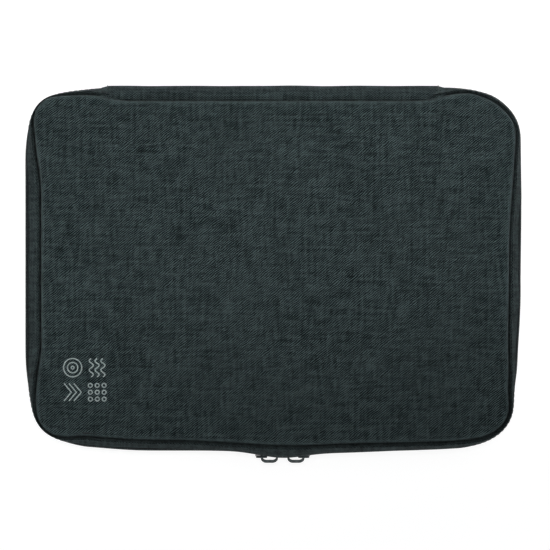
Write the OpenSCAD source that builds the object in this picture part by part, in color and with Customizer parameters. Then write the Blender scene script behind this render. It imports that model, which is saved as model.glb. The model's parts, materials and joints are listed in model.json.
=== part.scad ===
// Soft-sided cable organizer pouch that opens like a book along a sewn spine.
// It lies on its rear panel: X runs along the spine, Y from the zip's front run to the spine, Z is up.
// The origin is the middle of the rear panel's outer face.

/* [Pouch] */
// Length from lip to lip, along the spine
pouch_l = 240; // [200:1:320]
// Width from the front lip to the back lip
pouch_w = 176; // [160:1:240]
// Thickness with the lid closed
pouch_h = 48; // [44:1:64]
// Radius of the two corners by the front run of the zip
front_corner_r = 31; // [26:1:40]
// Radius of the two corners by the spine
back_corner_r = 25; // [22:1:32]
// How far each panel's seam lies inside the lips
seam_inset = 6; // [4:0.5:7]
// Radius of each panel's rolled edge
roll_r = 5; // [4.5:0.5:7]

/* [Fabric] */
// Thickness of the outer fabric
fabric_t = 0.8; // [0.6:0.1:1]
// Thickness of the foam in each panel
foam_t = 3; // [2:0.25:3]
// Thickness of the lining
lining_t = 0.5; // [0.3:0.1:0.6]
// Play between layers that are sewn to each other
layer_gap = 0.1; // [0.05:0.05:0.2]
// Play between the lining's edge and the panel's rolled edge
lining_play = 0.6; // [0.4:0.1:1.5]
// Width of the binding tape over the inside seams
binding_w = 8; // [6:0.5:10]
// Thickness of the folded binding tape
binding_t = 1.6; // [1:0.2:2]
// How far the binding lies inside the panel's seam
binding_setback = 2.6; // [2.4:0.1:5]

/* [Spine] */
// Length of the spine strip
spine_l = 166; // [120:1:170]
// Thickness of the doubled spine strip
spine_t = 1; // [0.8:0.1:1.6]
// How far the strip covers each end of the zip
spine_lap = 6; // [4:0.5:10]
// Play between the strip and its fold line
fold_gap = 0.15; // [0.1:0.05:0.3]

/* [Zip] */
// Pitch of the chain's teeth
tooth_pitch = 1.5; // [1.4:0.1:2.5]
// Length of a tooth along the chain, as a share of the pitch
tooth_share = 0.4; // [0.3:0.05:0.42]
// How far a tooth reaches past the middle of the closed chain
tooth_reach = 0.55; // [0.4:0.05:0.7]
// Play between a tooth's tip and the other chain
tooth_play = 0.15; // [0.1:0.05:0.3]
// Width of each chain behind its teeth
chain_w = 2; // [1.6:0.1:2.6]
// Thickness of the chain
chain_t = 2.2; // [1.8:0.1:2.6]
// Width of each zip tape
tape_w = 10.5; // [9:0.5:11]
// Thickness of the tape
tape_t = 0.6; // [0.4:0.1:0.8]

/* [Sliders] */
// Where the two sliders meet, from the pouch's middle
slider_meet_x = 4.7; // [-20:0.1:20]
// Length of a slider
slider_l = 12.6; // [12:0.1:16]
// Length of the straight tail, from the slider's end to its flare
tail_l = 4.4; // [3.6:0.1:5]
// Length of the nose, from the flare to the slider's end
nose_l = 3.2; // [2.6:0.1:4]
// Radius of the nose's round end
nose_r = 7; // [6.6:0.1:9]
// Thickness of the slider's outer plate
outer_plate_t = 1.3; // [1:0.1:1.6]
// Thickness of the slider's inner plate
inner_plate_t = 1; // [0.8:0.1:1.4]
// Thickness of the flanges that hold the chains
flange_t = 0.8; // [0.6:0.1:1.2]
// Width of the diamond that parts the chains
diamond_w = 2; // [1.6:0.1:2.6]
// How far the diamond stands back from the nose
diamond_setback = 0.8; // [0.6:0.1:2]
// Running play between slider, tape and chain
slider_play = 0.2; // [0.15:0.05:0.3]
// Play between the parted teeth and the diamond
diamond_play = 0.3; // [0.2:0.05:0.5]
// Play between a slider and the fabric lips
lip_play = 0.45; // [0.3:0.05:1]
// Gap between the two sliders' noses
nose_gap = 0.3; // [0.2:0.1:2]
// Length of the bridge that carries the puller
bridge_l = 8.6; // [8:0.1:10]
// Height of the bridge over the outer plate
bridge_h = 5.4; // [4.2:0.1:6]
// Width of the bridge
bridge_w = 2.2; // [1.8:0.1:3]
// Thickness of the bridge
bridge_t = 1; // [0.8:0.1:1.2]
// Outer radius of the bridge's bends
bridge_r = 2.8; // [1.8:0.1:3]

/* [Pullers] */
// Length of a puller below its eye
puller_l = 18; // [14:0.5:19]
// Width of a puller at its free end
puller_w = 6.4; // [5.5:0.1:8]
// Width of the neck under the eye
puller_neck_w = 4; // [3.5:0.1:5]
// Thickness of a puller
puller_t = 1; // [0.8:0.1:1.1]
// Width of the rim round the eye
eye_rim = 1.1; // [0.8:0.1:1.4]
// Play between the eye and the bridge's leg
eye_play = 0.45; // [0.3:0.05:0.6]
// Gap between a puller and the slider's plate
puller_gap = 2.2; // [0.3:0.1:2.4]
// Width of the slot in a puller
slot_w = 2; // [1.5:0.1:2.6]
// Length of the slot between its round ends
slot_l = 5; // [3:0.5:7]

/* [Inside] */
// Number of cable loops in each elastic
loop_count = 4; // [2:1:4]
// Width of one cable loop at the lining
loop_w = 27; // [24:1:28]
// Height of a cable loop
loop_rise = 8; // [7:0.5:11]
// Width of each sewn tack between loops
tack_w = 6; // [4:0.5:6]
// Width of the elastics
elastic_w = 24; // [15:1:40]
// Thickness of the elastics
elastic_t = 1.2; // [0.8:0.1:1.6]
// Distance between the two elastics
elastic_spread = 92; // [60:1:110]
// Length of the mesh pocket
pocket_l = 178; // [120:1:178]
// Width of the mesh pocket
pocket_w = 132; // [90:1:132]
// Thickness of the mesh
mesh_t = 0.6; // [0.4:0.1:1]
// Width of the pocket's hem and edge bindings
hem_w = 8; // [6:0.5:12]
// Thickness of the hem and edge bindings over the mesh
hem_t = 0.8; // [0.6:0.1:1.2]

/* [Hidden] */
$fn = 64;

fabric_colour = [0.18, 0.22, 0.22];
lining_colour = [0.24, 0.26, 0.27];
trim_colour = [0.07, 0.08, 0.09];
foam_colour = [0.75, 0.76, 0.74];
metal_colour = [0.20, 0.23, 0.24];

// Where the straight walls end and the rounded corners begin
front_x = pouch_l / 2 - front_corner_r;
front_y = pouch_w / 2 - front_corner_r;
back_x = pouch_l / 2 - back_corner_r;
back_y = pouch_w / 2 - back_corner_r;

// Heights in one half of the pouch, from its panel's outer face
mid_z = pouch_h / 2;
lining_z = fabric_t + foam_t;
floor_z = lining_z + lining_t;
seam_z = roll_r;

// Chains, outwards from the middle of the zip
chain_near = tooth_reach + tooth_play;
chain_far = chain_near + chain_w;
part_shift = diamond_w / 2 + diamond_play + tooth_reach;
tape_edge = diamond_w / 2 + diamond_play;
tooth_half = tooth_share * tooth_pitch / 2;
rear_phase = 0.25;
front_phase = 0.75;
corner_chords = 10;

// Sliders: half widths, and where they flare between tail and nose
tail_half = chain_far + slider_play + flange_t;
nose_half = tail_half + part_shift;
flare_start = tail_l - slider_l / 2;
flare_end = slider_l / 2 - nose_l;
diamond_tip = flare_start + (flare_end - flare_start) * (tooth_reach + diamond_play) / part_shift;
diamond_end = slider_l / 2 - diamond_setback;
slider_x = slider_l / 2 + nose_gap / 2;
lip_z = mid_z - nose_half - lip_play;

// Depths behind the lips' outer face
tape_out = fabric_t + layer_gap;
tape_in = tape_out + tape_t;
chain_in = tape_in + chain_t;
lining_out = tape_in + layer_gap;
channel_out = tape_out - slider_play;
channel_in = chain_in + slider_play;
flange_top = tape_in + 2 * slider_play;

// Arc of the gusset, upright at the lip and ending at the seam
gusset_rise = lip_z - seam_z;
gusset_r = (gusset_rise * gusset_rise + seam_inset * seam_inset) / (2 * seam_inset);

// Insets of the layers inside the panel's rolled edge
foam_inset = seam_inset + roll_r + layer_gap;
lining_inset = seam_inset + fabric_t + lining_play;
binding_inset = seam_inset + binding_setback;

// Spine strip: the zip ends under it, and it folds outside its own face
zip_gap = spine_l - 2 * spine_lap;
spine_out = layer_gap + spine_t;

// The puller's eye turns on the tail side leg of the bridge
leg_x = bridge_l / 2 - bridge_t / 2;
eye_r = sqrt(bridge_t * bridge_t + bridge_w * bridge_w) / 2 + eye_play;

// Arc of a cable loop, whose feet run into the tacks
loop_chord = loop_w + 2 * elastic_t;
loop_r = (loop_chord * loop_chord / 4 + loop_rise * loop_rise) / (2 * loop_rise);
loop_pitch = loop_w + tack_w;
elastic_l = loop_count * loop_pitch + tack_w;

// Overlap of joined shapes and of cutters
bite = 0.2;

// Outlines

// A flat layer: the pouch's outline, drawn in by inset
module layer(inset, z, t) {
    l = pouch_l - 2 * inset;
    w = pouch_w - 2 * inset;
    translate([0, 0, z]) linear_extrude(t) {
        translate([-l / 2, -front_y]) square([l, front_y + back_y]);
        translate([-front_x, -w / 2]) square([2 * front_x, w / 2]);
        translate([-back_x, 0]) square([2 * back_x, w / 2]);
        for (s = [-1, 1]) {
            translate([s * front_x, -front_y]) circle(front_corner_r - inset);
            translate([s * back_x, back_y]) circle(back_corner_r - inset);
        }
    }
}

// Sweeps: a profile's x is the distance out of the lips' face, negative inside, and its y is the height

// A straight stretch of wall that faces along angle, between two places on it
module run(angle, reach, from, to) {
    rotate(angle)
        translate([reach, to, 0])
            rotate([90, 0, 0]) linear_extrude(to - from) children();
}

module corner(x, y, r, angle) {
    translate([x, y, 0])
        rotate(angle) rotate_extrude(angle = 90) translate([r, 0]) children();
}

module sides_and_corners() {
    run(0, pouch_l / 2, -front_y, back_y) children();
    run(180, pouch_l / 2, -back_y, front_y) children();
    run(270, pouch_w / 2, -front_x, front_x) children();
    corner(back_x, back_y, back_corner_r, 0) children();
    corner(-back_x, back_y, back_corner_r, 90) children();
    corner(-front_x, -front_y, front_corner_r, 180) children();
    corner(front_x, -front_y, front_corner_r, 270) children();
}

module all_round() {
    sides_and_corners() children();
    run(90, pouch_w / 2, -back_x, back_x) children();
}

// Open behind the spine strip
module round_zip() {
    sides_and_corners() children();
    run(90, pouch_w / 2, -back_x, -zip_gap / 2) children();
    run(90, pouch_w / 2, zip_gap / 2, back_x) children();
}

// The gusset's curve at a depth behind its outer face, between two heights
module gusset_curve(depth, t, low, high) {
    intersection() {
        translate([-gusset_r, lip_z])
            difference() {
                circle(gusset_r - depth);
                circle(gusset_r - depth - t);
            }
        translate([-gusset_r, low])
            square([gusset_r - depth + bite, high - low]);
    }
}

// Half shell, drawn as the rear half; the front half is its mirror image

module front_half() {
    translate([0, 0, pouch_h]) mirror([0, 0, 1]) children();
}

module panel() {
    flat_inset = seam_inset + roll_r;
    layer(flat_inset, 0, fabric_t);
    all_round() {
        translate([-flat_inset - fabric_t, 0]) square([fabric_t, fabric_t]);
        intersection() {
            translate([-flat_inset, roll_r])
                difference() {
                    circle(roll_r);
                    circle(roll_r - fabric_t);
                }
            translate([-flat_inset, 0]) square([roll_r, roll_r]);
        }
    }
}

module gusset() {
    round_zip() gusset_curve(0, fabric_t, seam_z, lip_z);
}

module gusset_lining() {
    low = floor_z + binding_t + 2 * layer_gap;
    all_round() gusset_curve(lining_out, lining_t, low, lip_z);
}

module seam_binding() {
    all_round()
        translate([-binding_inset - binding_w / 2, floor_z + binding_t / 2]) {
            square([binding_w - binding_t, binding_t], center = true);
            for (s = [-1, 1])
                translate([s * (binding_w - binding_t) / 2, 0]) circle(binding_t / 2);
        }
}

module zip_tape() {
    edge = mid_z - tape_edge;
    round_zip() {
        translate([-tape_in, lip_z]) square([tape_t, edge - lip_z]);
        gusset_curve(tape_out, tape_t, edge - tape_w, lip_z);
    }
}

// Half of the spine strip, up to the fold
module spine_half() {
    run(90, pouch_w / 2, -spine_l / 2, spine_l / 2) {
        gusset_curve(-spine_out, spine_t, seam_z, lip_z);
        translate([layer_gap, lip_z]) square([spine_t, mid_z - fold_gap - lip_z]);
    }
}

// Zip chain

// How far the chain is parted by the sliders at a place on the front run
function parting(x) =
    let (u = slider_x - abs(x - slider_meet_x))
    part_shift * max(0, min(1, (u - flare_start) / (flare_end - flare_start)));

// Outline of one straight chain: its teeth, then its plain far edge
function chain_outline(from, to, phase, parts) =
    let (
        count = floor((to - from) / tooth_pitch),
        pitch = (to - from) / count,
        shift = function (x) parts ? parting(x) : 0,
        flares = parts ? [slider_x - flare_start, slider_x - flare_end] : [],
        bends = [for (s = [1, -1], f = s > 0 ? flares : [for (i = [len(flares) - 1 : -1 : 0]) flares[i]])
            slider_meet_x + s * f]
    )
    concat(
        [[from, -chain_near]],
        [for (k = [0 : count - 1], side = [-1, 1], end = side < 0 ? [0, 1] : [1, 0])
            let (x = from + (k + phase) * pitch)
            [x + side * tooth_half, (end > 0 ? tooth_reach : -chain_near) - shift(x)]],
        [[to, -chain_near], [to, -chain_far]],
        [for (x = bends) [x, -chain_far - shift(x)]],
        [[from, -chain_far]]
    );

module chain_run(angle, reach, from, to, phase, parts = false) {
    rotate(angle)
        translate([reach - chain_in, 0, mid_z])
            rotate([90, 0, 90])
                linear_extrude(chain_t) polygon(chain_outline(from, to, phase, parts));
}

module chain_corner(x, y, r, angle, phase) {
    inner = r - chain_in;
    outer = r - tape_in;
    count = round((inner + outer) / 2 * PI / 2 / tooth_pitch);
    step = 90 / corner_chords;
    translate([x, y, mid_z]) rotate(angle) {
        translate([0, 0, -chain_far])
            linear_extrude(chain_w)
                polygon(concat(
                    [for (i = [0 : corner_chords]) outer * [cos(i * step), sin(i * step)]],
                    [for (i = [corner_chords : -1 : 0]) inner * [cos(i * step), sin(i * step)]]
                ));
        for (k = [0 : count - 1])
            rotate((k + phase) * 90 / count)
                translate([inner + bite, -tooth_half, -chain_near - bite])
                    cube([chain_t - 2 * bite, 2 * tooth_half, bite + chain_near + tooth_reach]);
    }
}

module zip_chain(phase) {
    chain_run(0, pouch_l / 2, -front_y, back_y, phase);
    chain_run(180, pouch_l / 2, -back_y, front_y, phase);
    chain_run(270, pouch_w / 2, -front_x, front_x, phase, true);
    chain_run(90, pouch_w / 2, -back_x, -zip_gap / 2, phase);
    chain_run(90, pouch_w / 2, zip_gap / 2, back_x, phase);
    chain_corner(back_x, back_y, back_corner_r, 0, phase);
    chain_corner(-back_x, back_y, back_corner_r, 90, phase);
    chain_corner(-front_x, -front_y, front_corner_r, 180, phase);
    chain_corner(front_x, -front_y, front_corner_r, 270, phase);
}

// Sliders and pullers, drawn with x towards the nose, y across the zip and z out of the pouch

module slider_outline() {
    intersection() {
        polygon([
            [-slider_l / 2, -tail_half], [flare_start, -tail_half], [flare_end, -nose_half],
            [slider_l / 2, -nose_half], [slider_l / 2, nose_half], [flare_end, nose_half],
            [flare_start, tail_half], [-slider_l / 2, tail_half]
        ]);
        union() {
            translate([-slider_l / 2, -nose_half]) square([slider_l / 2, 2 * nose_half]);
            translate([slider_l / 2 - nose_r, 0]) circle(nose_r);
        }
    }
}

// Way of the two chains through the slider, open at both ends
module slider_channel() {
    tail = tail_half - flange_t;
    nose = nose_half - flange_t;
    polygon([
        [-slider_l, -tail], [flare_start, -tail], [flare_end, -nose], [slider_l, -nose],
        [slider_l, nose], [flare_end, nose], [flare_start, tail], [-slider_l, tail]
    ]);
}

module arch(l, h, r) {
    translate([-l / 2, 0]) square([l, h - r]);
    translate([r - l / 2, 0]) square([l - 2 * r, h]);
    for (s = [-1, 1]) translate([s * (l / 2 - r), h - r]) circle(r);
}

module slider() {
    // Outer plate
    translate([0, 0, -channel_out]) linear_extrude(outer_plate_t) slider_outline();
    // Inner plate with its flanges
    translate([0, 0, -channel_in - inner_plate_t]) linear_extrude(inner_plate_t) slider_outline();
    translate([0, 0, -channel_in])
        linear_extrude(channel_in - flange_top)
            difference() {
                slider_outline();
                slider_channel();
            }
    // Diamond
    translate([0, 0, -channel_in - bite])
        linear_extrude(channel_in - channel_out + 2 * bite)
            polygon([
                [diamond_tip, 0], [flare_end, -diamond_w / 2], [diamond_end, -diamond_w / 4],
                [diamond_end, diamond_w / 4], [flare_end, diamond_w / 2]
            ]);
    // Bridge
    translate([0, bridge_w / 2, outer_plate_t - channel_out])
        rotate([90, 0, 0])
            linear_extrude(bridge_w)
                difference() {
                    arch(bridge_l, bridge_h, bridge_r);
                    arch(bridge_l - 2 * bridge_t, bridge_h - bridge_t, bridge_r - bridge_t);
                }
}

// A flat tab that hangs from the bridge's tail side leg, with its eye at that leg
module puller() {
    tip_r = puller_w / 2;
    tip_y = tip_r - puller_l;
    translate([-leg_x, 0, outer_plate_t - channel_out + puller_gap])
        difference() {
            union() {
                cylinder(r = eye_r + eye_rim, h = puller_t);
                linear_extrude(puller_t)
                    polygon([
                        [-puller_neck_w / 2, 0], [-tip_r, tip_y], [tip_r, tip_y], [puller_neck_w / 2, 0]
                    ]);
                translate([0, tip_y, 0]) cylinder(r = tip_r, h = puller_t);
            }
            translate([0, 0, -bite]) cylinder(r = eye_r, h = puller_t + 2 * bite);
            translate([0, tip_y, -bite]) {
                cylinder(d = slot_w, h = puller_t + 2 * bite);
                translate([0, slot_l, 0]) cylinder(d = slot_w, h = puller_t + 2 * bite);
                translate([-slot_w / 2, 0, 0]) cube([slot_w, slot_l, puller_t + 2 * bite]);
            }
        }
}

// Puts a slider or puller on the front wall; side is -1 on the left and 1 on the right
module on_zip(side) {
    translate([slider_meet_x + side * slider_x, -pouch_w / 2, mid_z])
        rotate([90, 0, 0]) mirror([side > 0 ? 1 : 0, 0, 0]) children();
}

// Inside

// A band of cable loops along Y, tacked to the lining between the loops
module cable_elastic(x) {
    translate([x - elastic_w / 2, 0, floor_z])
        rotate([90, 0, 90])
            for (i = [0 : loop_count])
                translate([i * loop_pitch - elastic_l / 2, 0, 0]) {
                    cube([tack_w, elastic_t, elastic_w]);
                    if (i < loop_count)
                        translate([tack_w - elastic_t, 0, 0]) linear_extrude(elastic_w) cable_loop();
                }
}

module cable_loop() {
    intersection() {
        translate([loop_chord / 2, loop_rise - loop_r])
            difference() {
                circle(loop_r);
                circle(loop_r - elastic_t);
            }
        square([loop_chord, loop_rise]);
    }
}

module mesh_sheet() {
    translate([-pocket_l / 2, -pocket_w / 2, floor_z + layer_gap])
        cube([pocket_l, pocket_w, mesh_t]);
}

module pocket_hem() {
    translate([pocket_l / 2 - hem_w, -pocket_w / 2, floor_z + layer_gap + mesh_t])
        cube([hem_w, pocket_w, hem_t]);
}

// Round the pocket's three sewn edges, up to the hem
module pocket_binding() {
    translate([-pocket_l / 2, 0, floor_z + layer_gap + mesh_t])
        linear_extrude(hem_t)
            difference() {
                translate([0, -pocket_w / 2]) square([pocket_l - hem_w - layer_gap, pocket_w]);
                translate([hem_w, hem_w - pocket_w / 2])
                    square([pocket_l, pocket_w - 2 * hem_w]);
            }
}

// Nodes

module rear_panel() color(fabric_colour) panel();
module rear_padding() color(foam_colour) layer(foam_inset, fabric_t, foam_t);
module rear_lining() color(lining_colour) layer(lining_inset, lining_z, lining_t);
module rear_gusset() color(fabric_colour) gusset();
module rear_gusset_lining() color(lining_colour) gusset_lining();
module rear_seam_binding() color(trim_colour) seam_binding();
module rear_zip_tape() color(trim_colour) zip_tape();
module rear_zip_chain() color(trim_colour) zip_chain(rear_phase);
module rear_spine() color(fabric_colour) spine_half();
module upper_cable_elastic() color(trim_colour) cable_elastic(elastic_spread / 2);
module lower_cable_elastic() color(trim_colour) cable_elastic(-elastic_spread / 2);

module front_panel() color(fabric_colour) front_half() panel();
module front_padding() color(foam_colour) front_half() layer(foam_inset, fabric_t, foam_t);
module front_lining() color(lining_colour) front_half() layer(lining_inset, lining_z, lining_t);
module front_gusset() color(fabric_colour) front_half() gusset();
module front_gusset_lining() color(lining_colour) front_half() gusset_lining();
module front_seam_binding() color(trim_colour) front_half() seam_binding();
module front_zip_tape() color(trim_colour) front_half() zip_tape();
module front_zip_chain() color(trim_colour) front_half() zip_chain(front_phase);
module front_spine() color(fabric_colour) front_half() spine_half();
module mesh_pocket() color(trim_colour) front_half() mesh_sheet();
module mesh_pocket_hem() color(trim_colour) front_half() pocket_hem();
module mesh_pocket_binding() color(trim_colour) front_half() pocket_binding();

module left_slider() color(metal_colour) on_zip(-1) slider();
module left_puller() color(metal_colour) on_zip(-1) puller();
module right_slider() color(metal_colour) on_zip(1) slider();
module right_puller() color(metal_colour) on_zip(1) puller();

rear_panel();
rear_padding();
rear_lining();
rear_gusset();
rear_gusset_lining();
rear_seam_binding();
rear_zip_tape();
rear_zip_chain();
rear_spine();
upper_cable_elastic();
lower_cable_elastic();
front_panel();
front_padding();
front_lining();
front_gusset();
front_gusset_lining();
front_seam_binding();
front_zip_tape();
front_zip_chain();
front_spine();
mesh_pocket();
mesh_pocket_hem();
mesh_pocket_binding();
left_slider();
left_puller();
right_slider();
right_puller();
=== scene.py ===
"""Cable organizer pouch: padded twill shell, coil zip, sewn inside and plain studio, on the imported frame."""

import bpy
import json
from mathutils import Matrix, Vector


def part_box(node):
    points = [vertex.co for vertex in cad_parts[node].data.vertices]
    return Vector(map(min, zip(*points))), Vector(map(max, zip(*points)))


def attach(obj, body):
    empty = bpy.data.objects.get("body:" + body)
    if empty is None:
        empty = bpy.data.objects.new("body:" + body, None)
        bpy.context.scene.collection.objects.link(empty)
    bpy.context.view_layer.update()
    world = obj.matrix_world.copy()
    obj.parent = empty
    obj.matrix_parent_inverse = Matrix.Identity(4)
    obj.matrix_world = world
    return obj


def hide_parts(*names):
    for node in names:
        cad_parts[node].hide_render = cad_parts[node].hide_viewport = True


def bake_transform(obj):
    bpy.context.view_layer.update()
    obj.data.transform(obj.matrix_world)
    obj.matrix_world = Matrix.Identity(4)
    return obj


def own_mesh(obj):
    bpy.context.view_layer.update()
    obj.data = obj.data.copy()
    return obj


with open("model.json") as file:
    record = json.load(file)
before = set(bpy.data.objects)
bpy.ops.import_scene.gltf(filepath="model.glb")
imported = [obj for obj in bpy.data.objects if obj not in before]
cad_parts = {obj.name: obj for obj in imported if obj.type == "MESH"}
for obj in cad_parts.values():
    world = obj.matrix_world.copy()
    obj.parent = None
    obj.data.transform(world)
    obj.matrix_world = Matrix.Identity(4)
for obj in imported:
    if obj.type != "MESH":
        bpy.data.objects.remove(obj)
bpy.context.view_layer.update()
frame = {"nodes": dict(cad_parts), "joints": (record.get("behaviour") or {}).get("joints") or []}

import json
import math
from bisect import bisect_right
from collections import namedtuple

import bmesh
import bpy
from bpy.props import FloatProperty, FloatVectorProperty, PointerProperty
from bpy.types import NodeSocket, Operator, Panel, PropertyGroup
from mathutils import Vector, noise
from mathutils.bvhtree import BVHTree
from mathutils.geometry import delaunay_2d_cdt
from mathutils.kdtree import KDTree

bl_info = {
    "name": "Cable Organizer Pouch",
    "version": (1, 0, 0),
    "blender": (4, 5, 0),
    "location": "View3D > Sidebar > Pouch",
    "description": "Builds the looks of a soft cable organizer pouch on its packed frame",
    "category": "Add Mesh",
}

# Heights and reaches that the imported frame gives, in metres
HALF_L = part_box("rear_gusset")[1].x
HALF_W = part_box("rear_gusset")[1].y
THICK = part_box("front_panel")[1].z
MIDDLE = THICK / 2
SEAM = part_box("rear_panel")[1].z
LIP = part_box("rear_gusset")[1].z
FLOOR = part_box("rear_lining")[1].z
SPINE_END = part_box("rear_spine")[1].x
SPINE_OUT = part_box("rear_spine")[1].y
ZIP_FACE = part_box("rear_zip_tape")[1].y
ELASTIC_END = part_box("upper_cable_elastic")[1].y
ELASTIC_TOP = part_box("upper_cable_elastic")[1].z
MEET = (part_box("left_slider")[1].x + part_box("right_slider")[0].x) / 2


def length_prop(name, default, description):
    return FloatProperty(name=name, description=description, default=default, min=0.0, unit="LENGTH",
                         precision=5)


def colour_prop(name, default, description):
    return FloatVectorProperty(name=name, description=description, default=default, min=0.0, max=1.0,
                               size=3, subtype="COLOR")


class PouchShape(PropertyGroup):
    """Sizes of the soft pieces that a maker would change."""

    front_corner: length_prop("Front corner", 0.031, "Radius of the two corners at the zip's front run")
    back_corner: length_prop("Back corner", 0.025, "Radius of the two corners at the spine")
    fabric: length_prop("Fabric thickness", 0.0008, "Thickness of the outer twill")
    edge_roll: length_prop("Edge roll", 0.00042, "How tightly the panels turn down into their seams")
    front_slope: length_prop("Front slope", 0.048, "Width of the padded panel's fall to its front seam")
    front_fall: length_prop("Front fall", 0.0040, "How far the padded panel falls to its front seam")
    seam_dip: length_prop("Seam dip", 0.0038, "How deep the seams lie below the edges of the panels' solids")
    side_slope: length_prop("Side slope", 0.012, "Width over which the padding thins towards the seams")
    swell: length_prop("Swell", 0.0016, "Most that the padding lifts the panel when it is stuffed")
    zip_gap: length_prop("Zip gap", 0.077, "Half of the stretch behind the spine that has no zip")
    coil_pitch: length_prop("Coil pitch", 0.0015, "Distance between two turns of the zip's coil")
    coil_wire: length_prop("Coil wire", 0.00031, "Radius of the coil's wire")
    coil_thick: length_prop("Coil thickness", 0.0019, "Thickness of the flattened coil behind its tape")
    tape: length_prop("Tape thickness", 0.0006, "Thickness of the zip's woven tape")
    stitch: length_prop("Stitch length", 0.0026, "Distance between two needle holes of a seam")
    net_cell: length_prop("Net cell", 0.0038, "Width of one opening of the pocket's net")


class PouchColours(PropertyGroup):
    """Colours of the fabrics, the zip and the print."""

    # The dark and light colours of each cloth mix as the heather of its yarns and, by its ribs, as painted
    # shade in their hollows and painted light on their crests
    twill_dark: colour_prop("Twill shadow yarn", (0.0042, 0.0067, 0.0073), "Dark yarn of the outer twill")
    twill_light: colour_prop("Twill light yarn", (0.0700, 0.0979, 0.1001), "Light yarn of the outer twill")
    lining_dark: colour_prop("Lining shadow", (0.045, 0.050, 0.053), "Dark yarn of the lining")
    lining_light: colour_prop("Lining light", (0.125, 0.135, 0.140), "Light yarn of the lining")
    trim_dark: colour_prop("Trim shadow", (0.009, 0.0105, 0.011), "Dark yarn of bindings, tapes and elastic")
    trim_light: colour_prop("Trim light", (0.030, 0.034, 0.036), "Light yarn of bindings, tapes and elastic")
    nylon: colour_prop("Nylon", (0.016, 0.020, 0.021), "Coil and net")
    metal: colour_prop("Slider enamel", (0.030, 0.040, 0.042), "Enamel of sliders and pullers")
    bare_metal: colour_prop("Worn metal", (0.30, 0.31, 0.31), "Bare metal where the enamel is worn")
    thread: colour_prop("Thread", (0.034, 0.043, 0.044), "Sewing thread")
    foam: colour_prop("Foam", (0.12, 0.12, 0.125), "Padding")
    print_ink: colour_prop("Print", (0.34, 0.40, 0.39), "Printed line work on the front panel")


def sizes():
    return bpy.context.scene.pouch_shape


def tints():
    return bpy.context.scene.pouch_colours


# Small shapes of curves

def bump(value, centre, spread):
    """A bell that is 1 at its centre."""
    return math.exp(-((value - centre) / spread) ** 2)


def ease(value, low, high):
    """Rises smoothly from 0 at low to 1 at high."""
    t = min(1.0, max(0.0, (value - low) / (high - low)))
    return t * t * (3.0 - 2.0 * t)


def plateau(value, low, rise, fall, high):
    """Rises from 0 at low to 1 at rise, and falls from 1 at fall to 0 at high."""
    return ease(value, low, rise) * (1.0 - ease(value, fall, high))


def ripple(x, y, waves, sheet):
    """Gentle unevenness of a cloth, so many waves to the metre; each cloth has a sheet number of its own."""
    return noise.noise(Vector((x * waves, y * waves, sheet)))


# Places round the pouch

Place = namedtuple("Place", "x y nx ny along")


def lip_places(step=0.002):
    """Places round the plain lips, anticlockwise from the middle of the spine, and the length round.

    Each place has the way out of the pouch and its distance along the lips.
    """
    size = sizes()
    places = []
    along = 0.0

    def straight(a, b):
        nonlocal along
        length = (b - a).length
        way = (b - a).normalized()
        count = max(1, round(length / step))
        for k in range(count):
            p = a.lerp(b, k / count)
            places.append(Place(p.x, p.y, way.y, -way.x, along + length * k / count))
        along += length

    def bend(centre, r, turn):
        nonlocal along
        length = r * math.pi / 2
        count = max(6, round(length / step))
        for k in range(count):
            a = turn + math.pi / 2 * k / count
            out = Vector((math.cos(a), math.sin(a)))
            p = centre + out * r
            places.append(Place(p.x, p.y, out.x, out.y, along + length * k / count))
        along += length

    corners = ((-1, 1, size.back_corner, 0.5), (-1, -1, size.front_corner, 1.0),
               (1, -1, size.front_corner, 1.5), (1, 1, size.back_corner, 0.0))
    here = Vector((0.0, HALF_W))
    for side_x, side_y, r, half_turns in corners:
        turn = half_turns * math.pi
        centre = Vector((side_x * (HALF_L - r), side_y * (HALF_W - r)))
        start = centre + Vector((math.cos(turn), math.sin(turn))) * r
        straight(here, start)
        bend(centre, r, turn)
        here = centre + Vector((-math.sin(turn), math.cos(turn))) * r
    straight(here, Vector((0.0, HALF_W)))
    return places, along


def zip_places(step=0.002):
    """The places along the zip, which stops at both ends of the spine."""
    places, total = lip_places(step)
    gap = sizes().zip_gap
    return [p for p in places if gap - step / 2 <= p.along <= total - gap + step / 2]


# Where the sewn corners and the two sliders pull the lips off the plain outline: x, y, reach and pull
PULLS = (
    (-0.099, 0.088, 0.012, -0.0018),
    (-0.1195, 0.068, 0.008, -0.0009),
    (-0.1195, -0.062, 0.011, -0.0019),
    (-0.097, -0.087, 0.014, -0.0020),
    (-0.080, -0.088, 0.012, -0.0006),
    (0.097, -0.087, 0.014, -0.0013),
    (0.078, -0.088, 0.014, -0.0003),
    (0.1195, -0.061, 0.010, -0.0024),
    (0.120, -0.044, 0.017, -0.0013),
    (0.112, 0.081, 0.008, -0.0007),
    (0.101, 0.088, 0.009, -0.0014),
    (0.120, 0.032, 0.026, 0.0004),
)
SLIDER_PULLS = (
    (0.0045, -0.088, 0.016, 0.0034),
    (0.033, -0.088, 0.020, 0.0010),
)

# How far the seams lie inside the lips: the front panel's at its corners, and the rear panel's all round
LEFT_CORNER_IN = 0.0001
BACK_CORNER_IN = 0.0034
FRONT_CORNER_IN = 0.0022
REAR_SEAM_IN = 0.0048

Half = namedtuple("Half", "body side")
REAR = Half("base", "rear")
FRONT = Half("lid", "front")


def level(half, height):
    """Heights are counted from a half's outer face inwards."""
    return height if half is REAR else THICK - height


def point_at(half, place, out, height):
    """The point that lies so far out from a place, at a height of its half."""
    return (place.x + place.nx * out, place.y + place.ny * out, level(half, height))


def lip_out(half, place):
    """How far the lips stand off the plain outline; the sliders lift only the lid's lips."""
    out = 0.0
    for x, y, reach, pull in PULLS + (SLIDER_PULLS if half is FRONT else ()):
        out += pull * math.exp(-((place.x - x) ** 2 + (place.y - y) ** 2) / reach ** 2)
    return out


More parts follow.
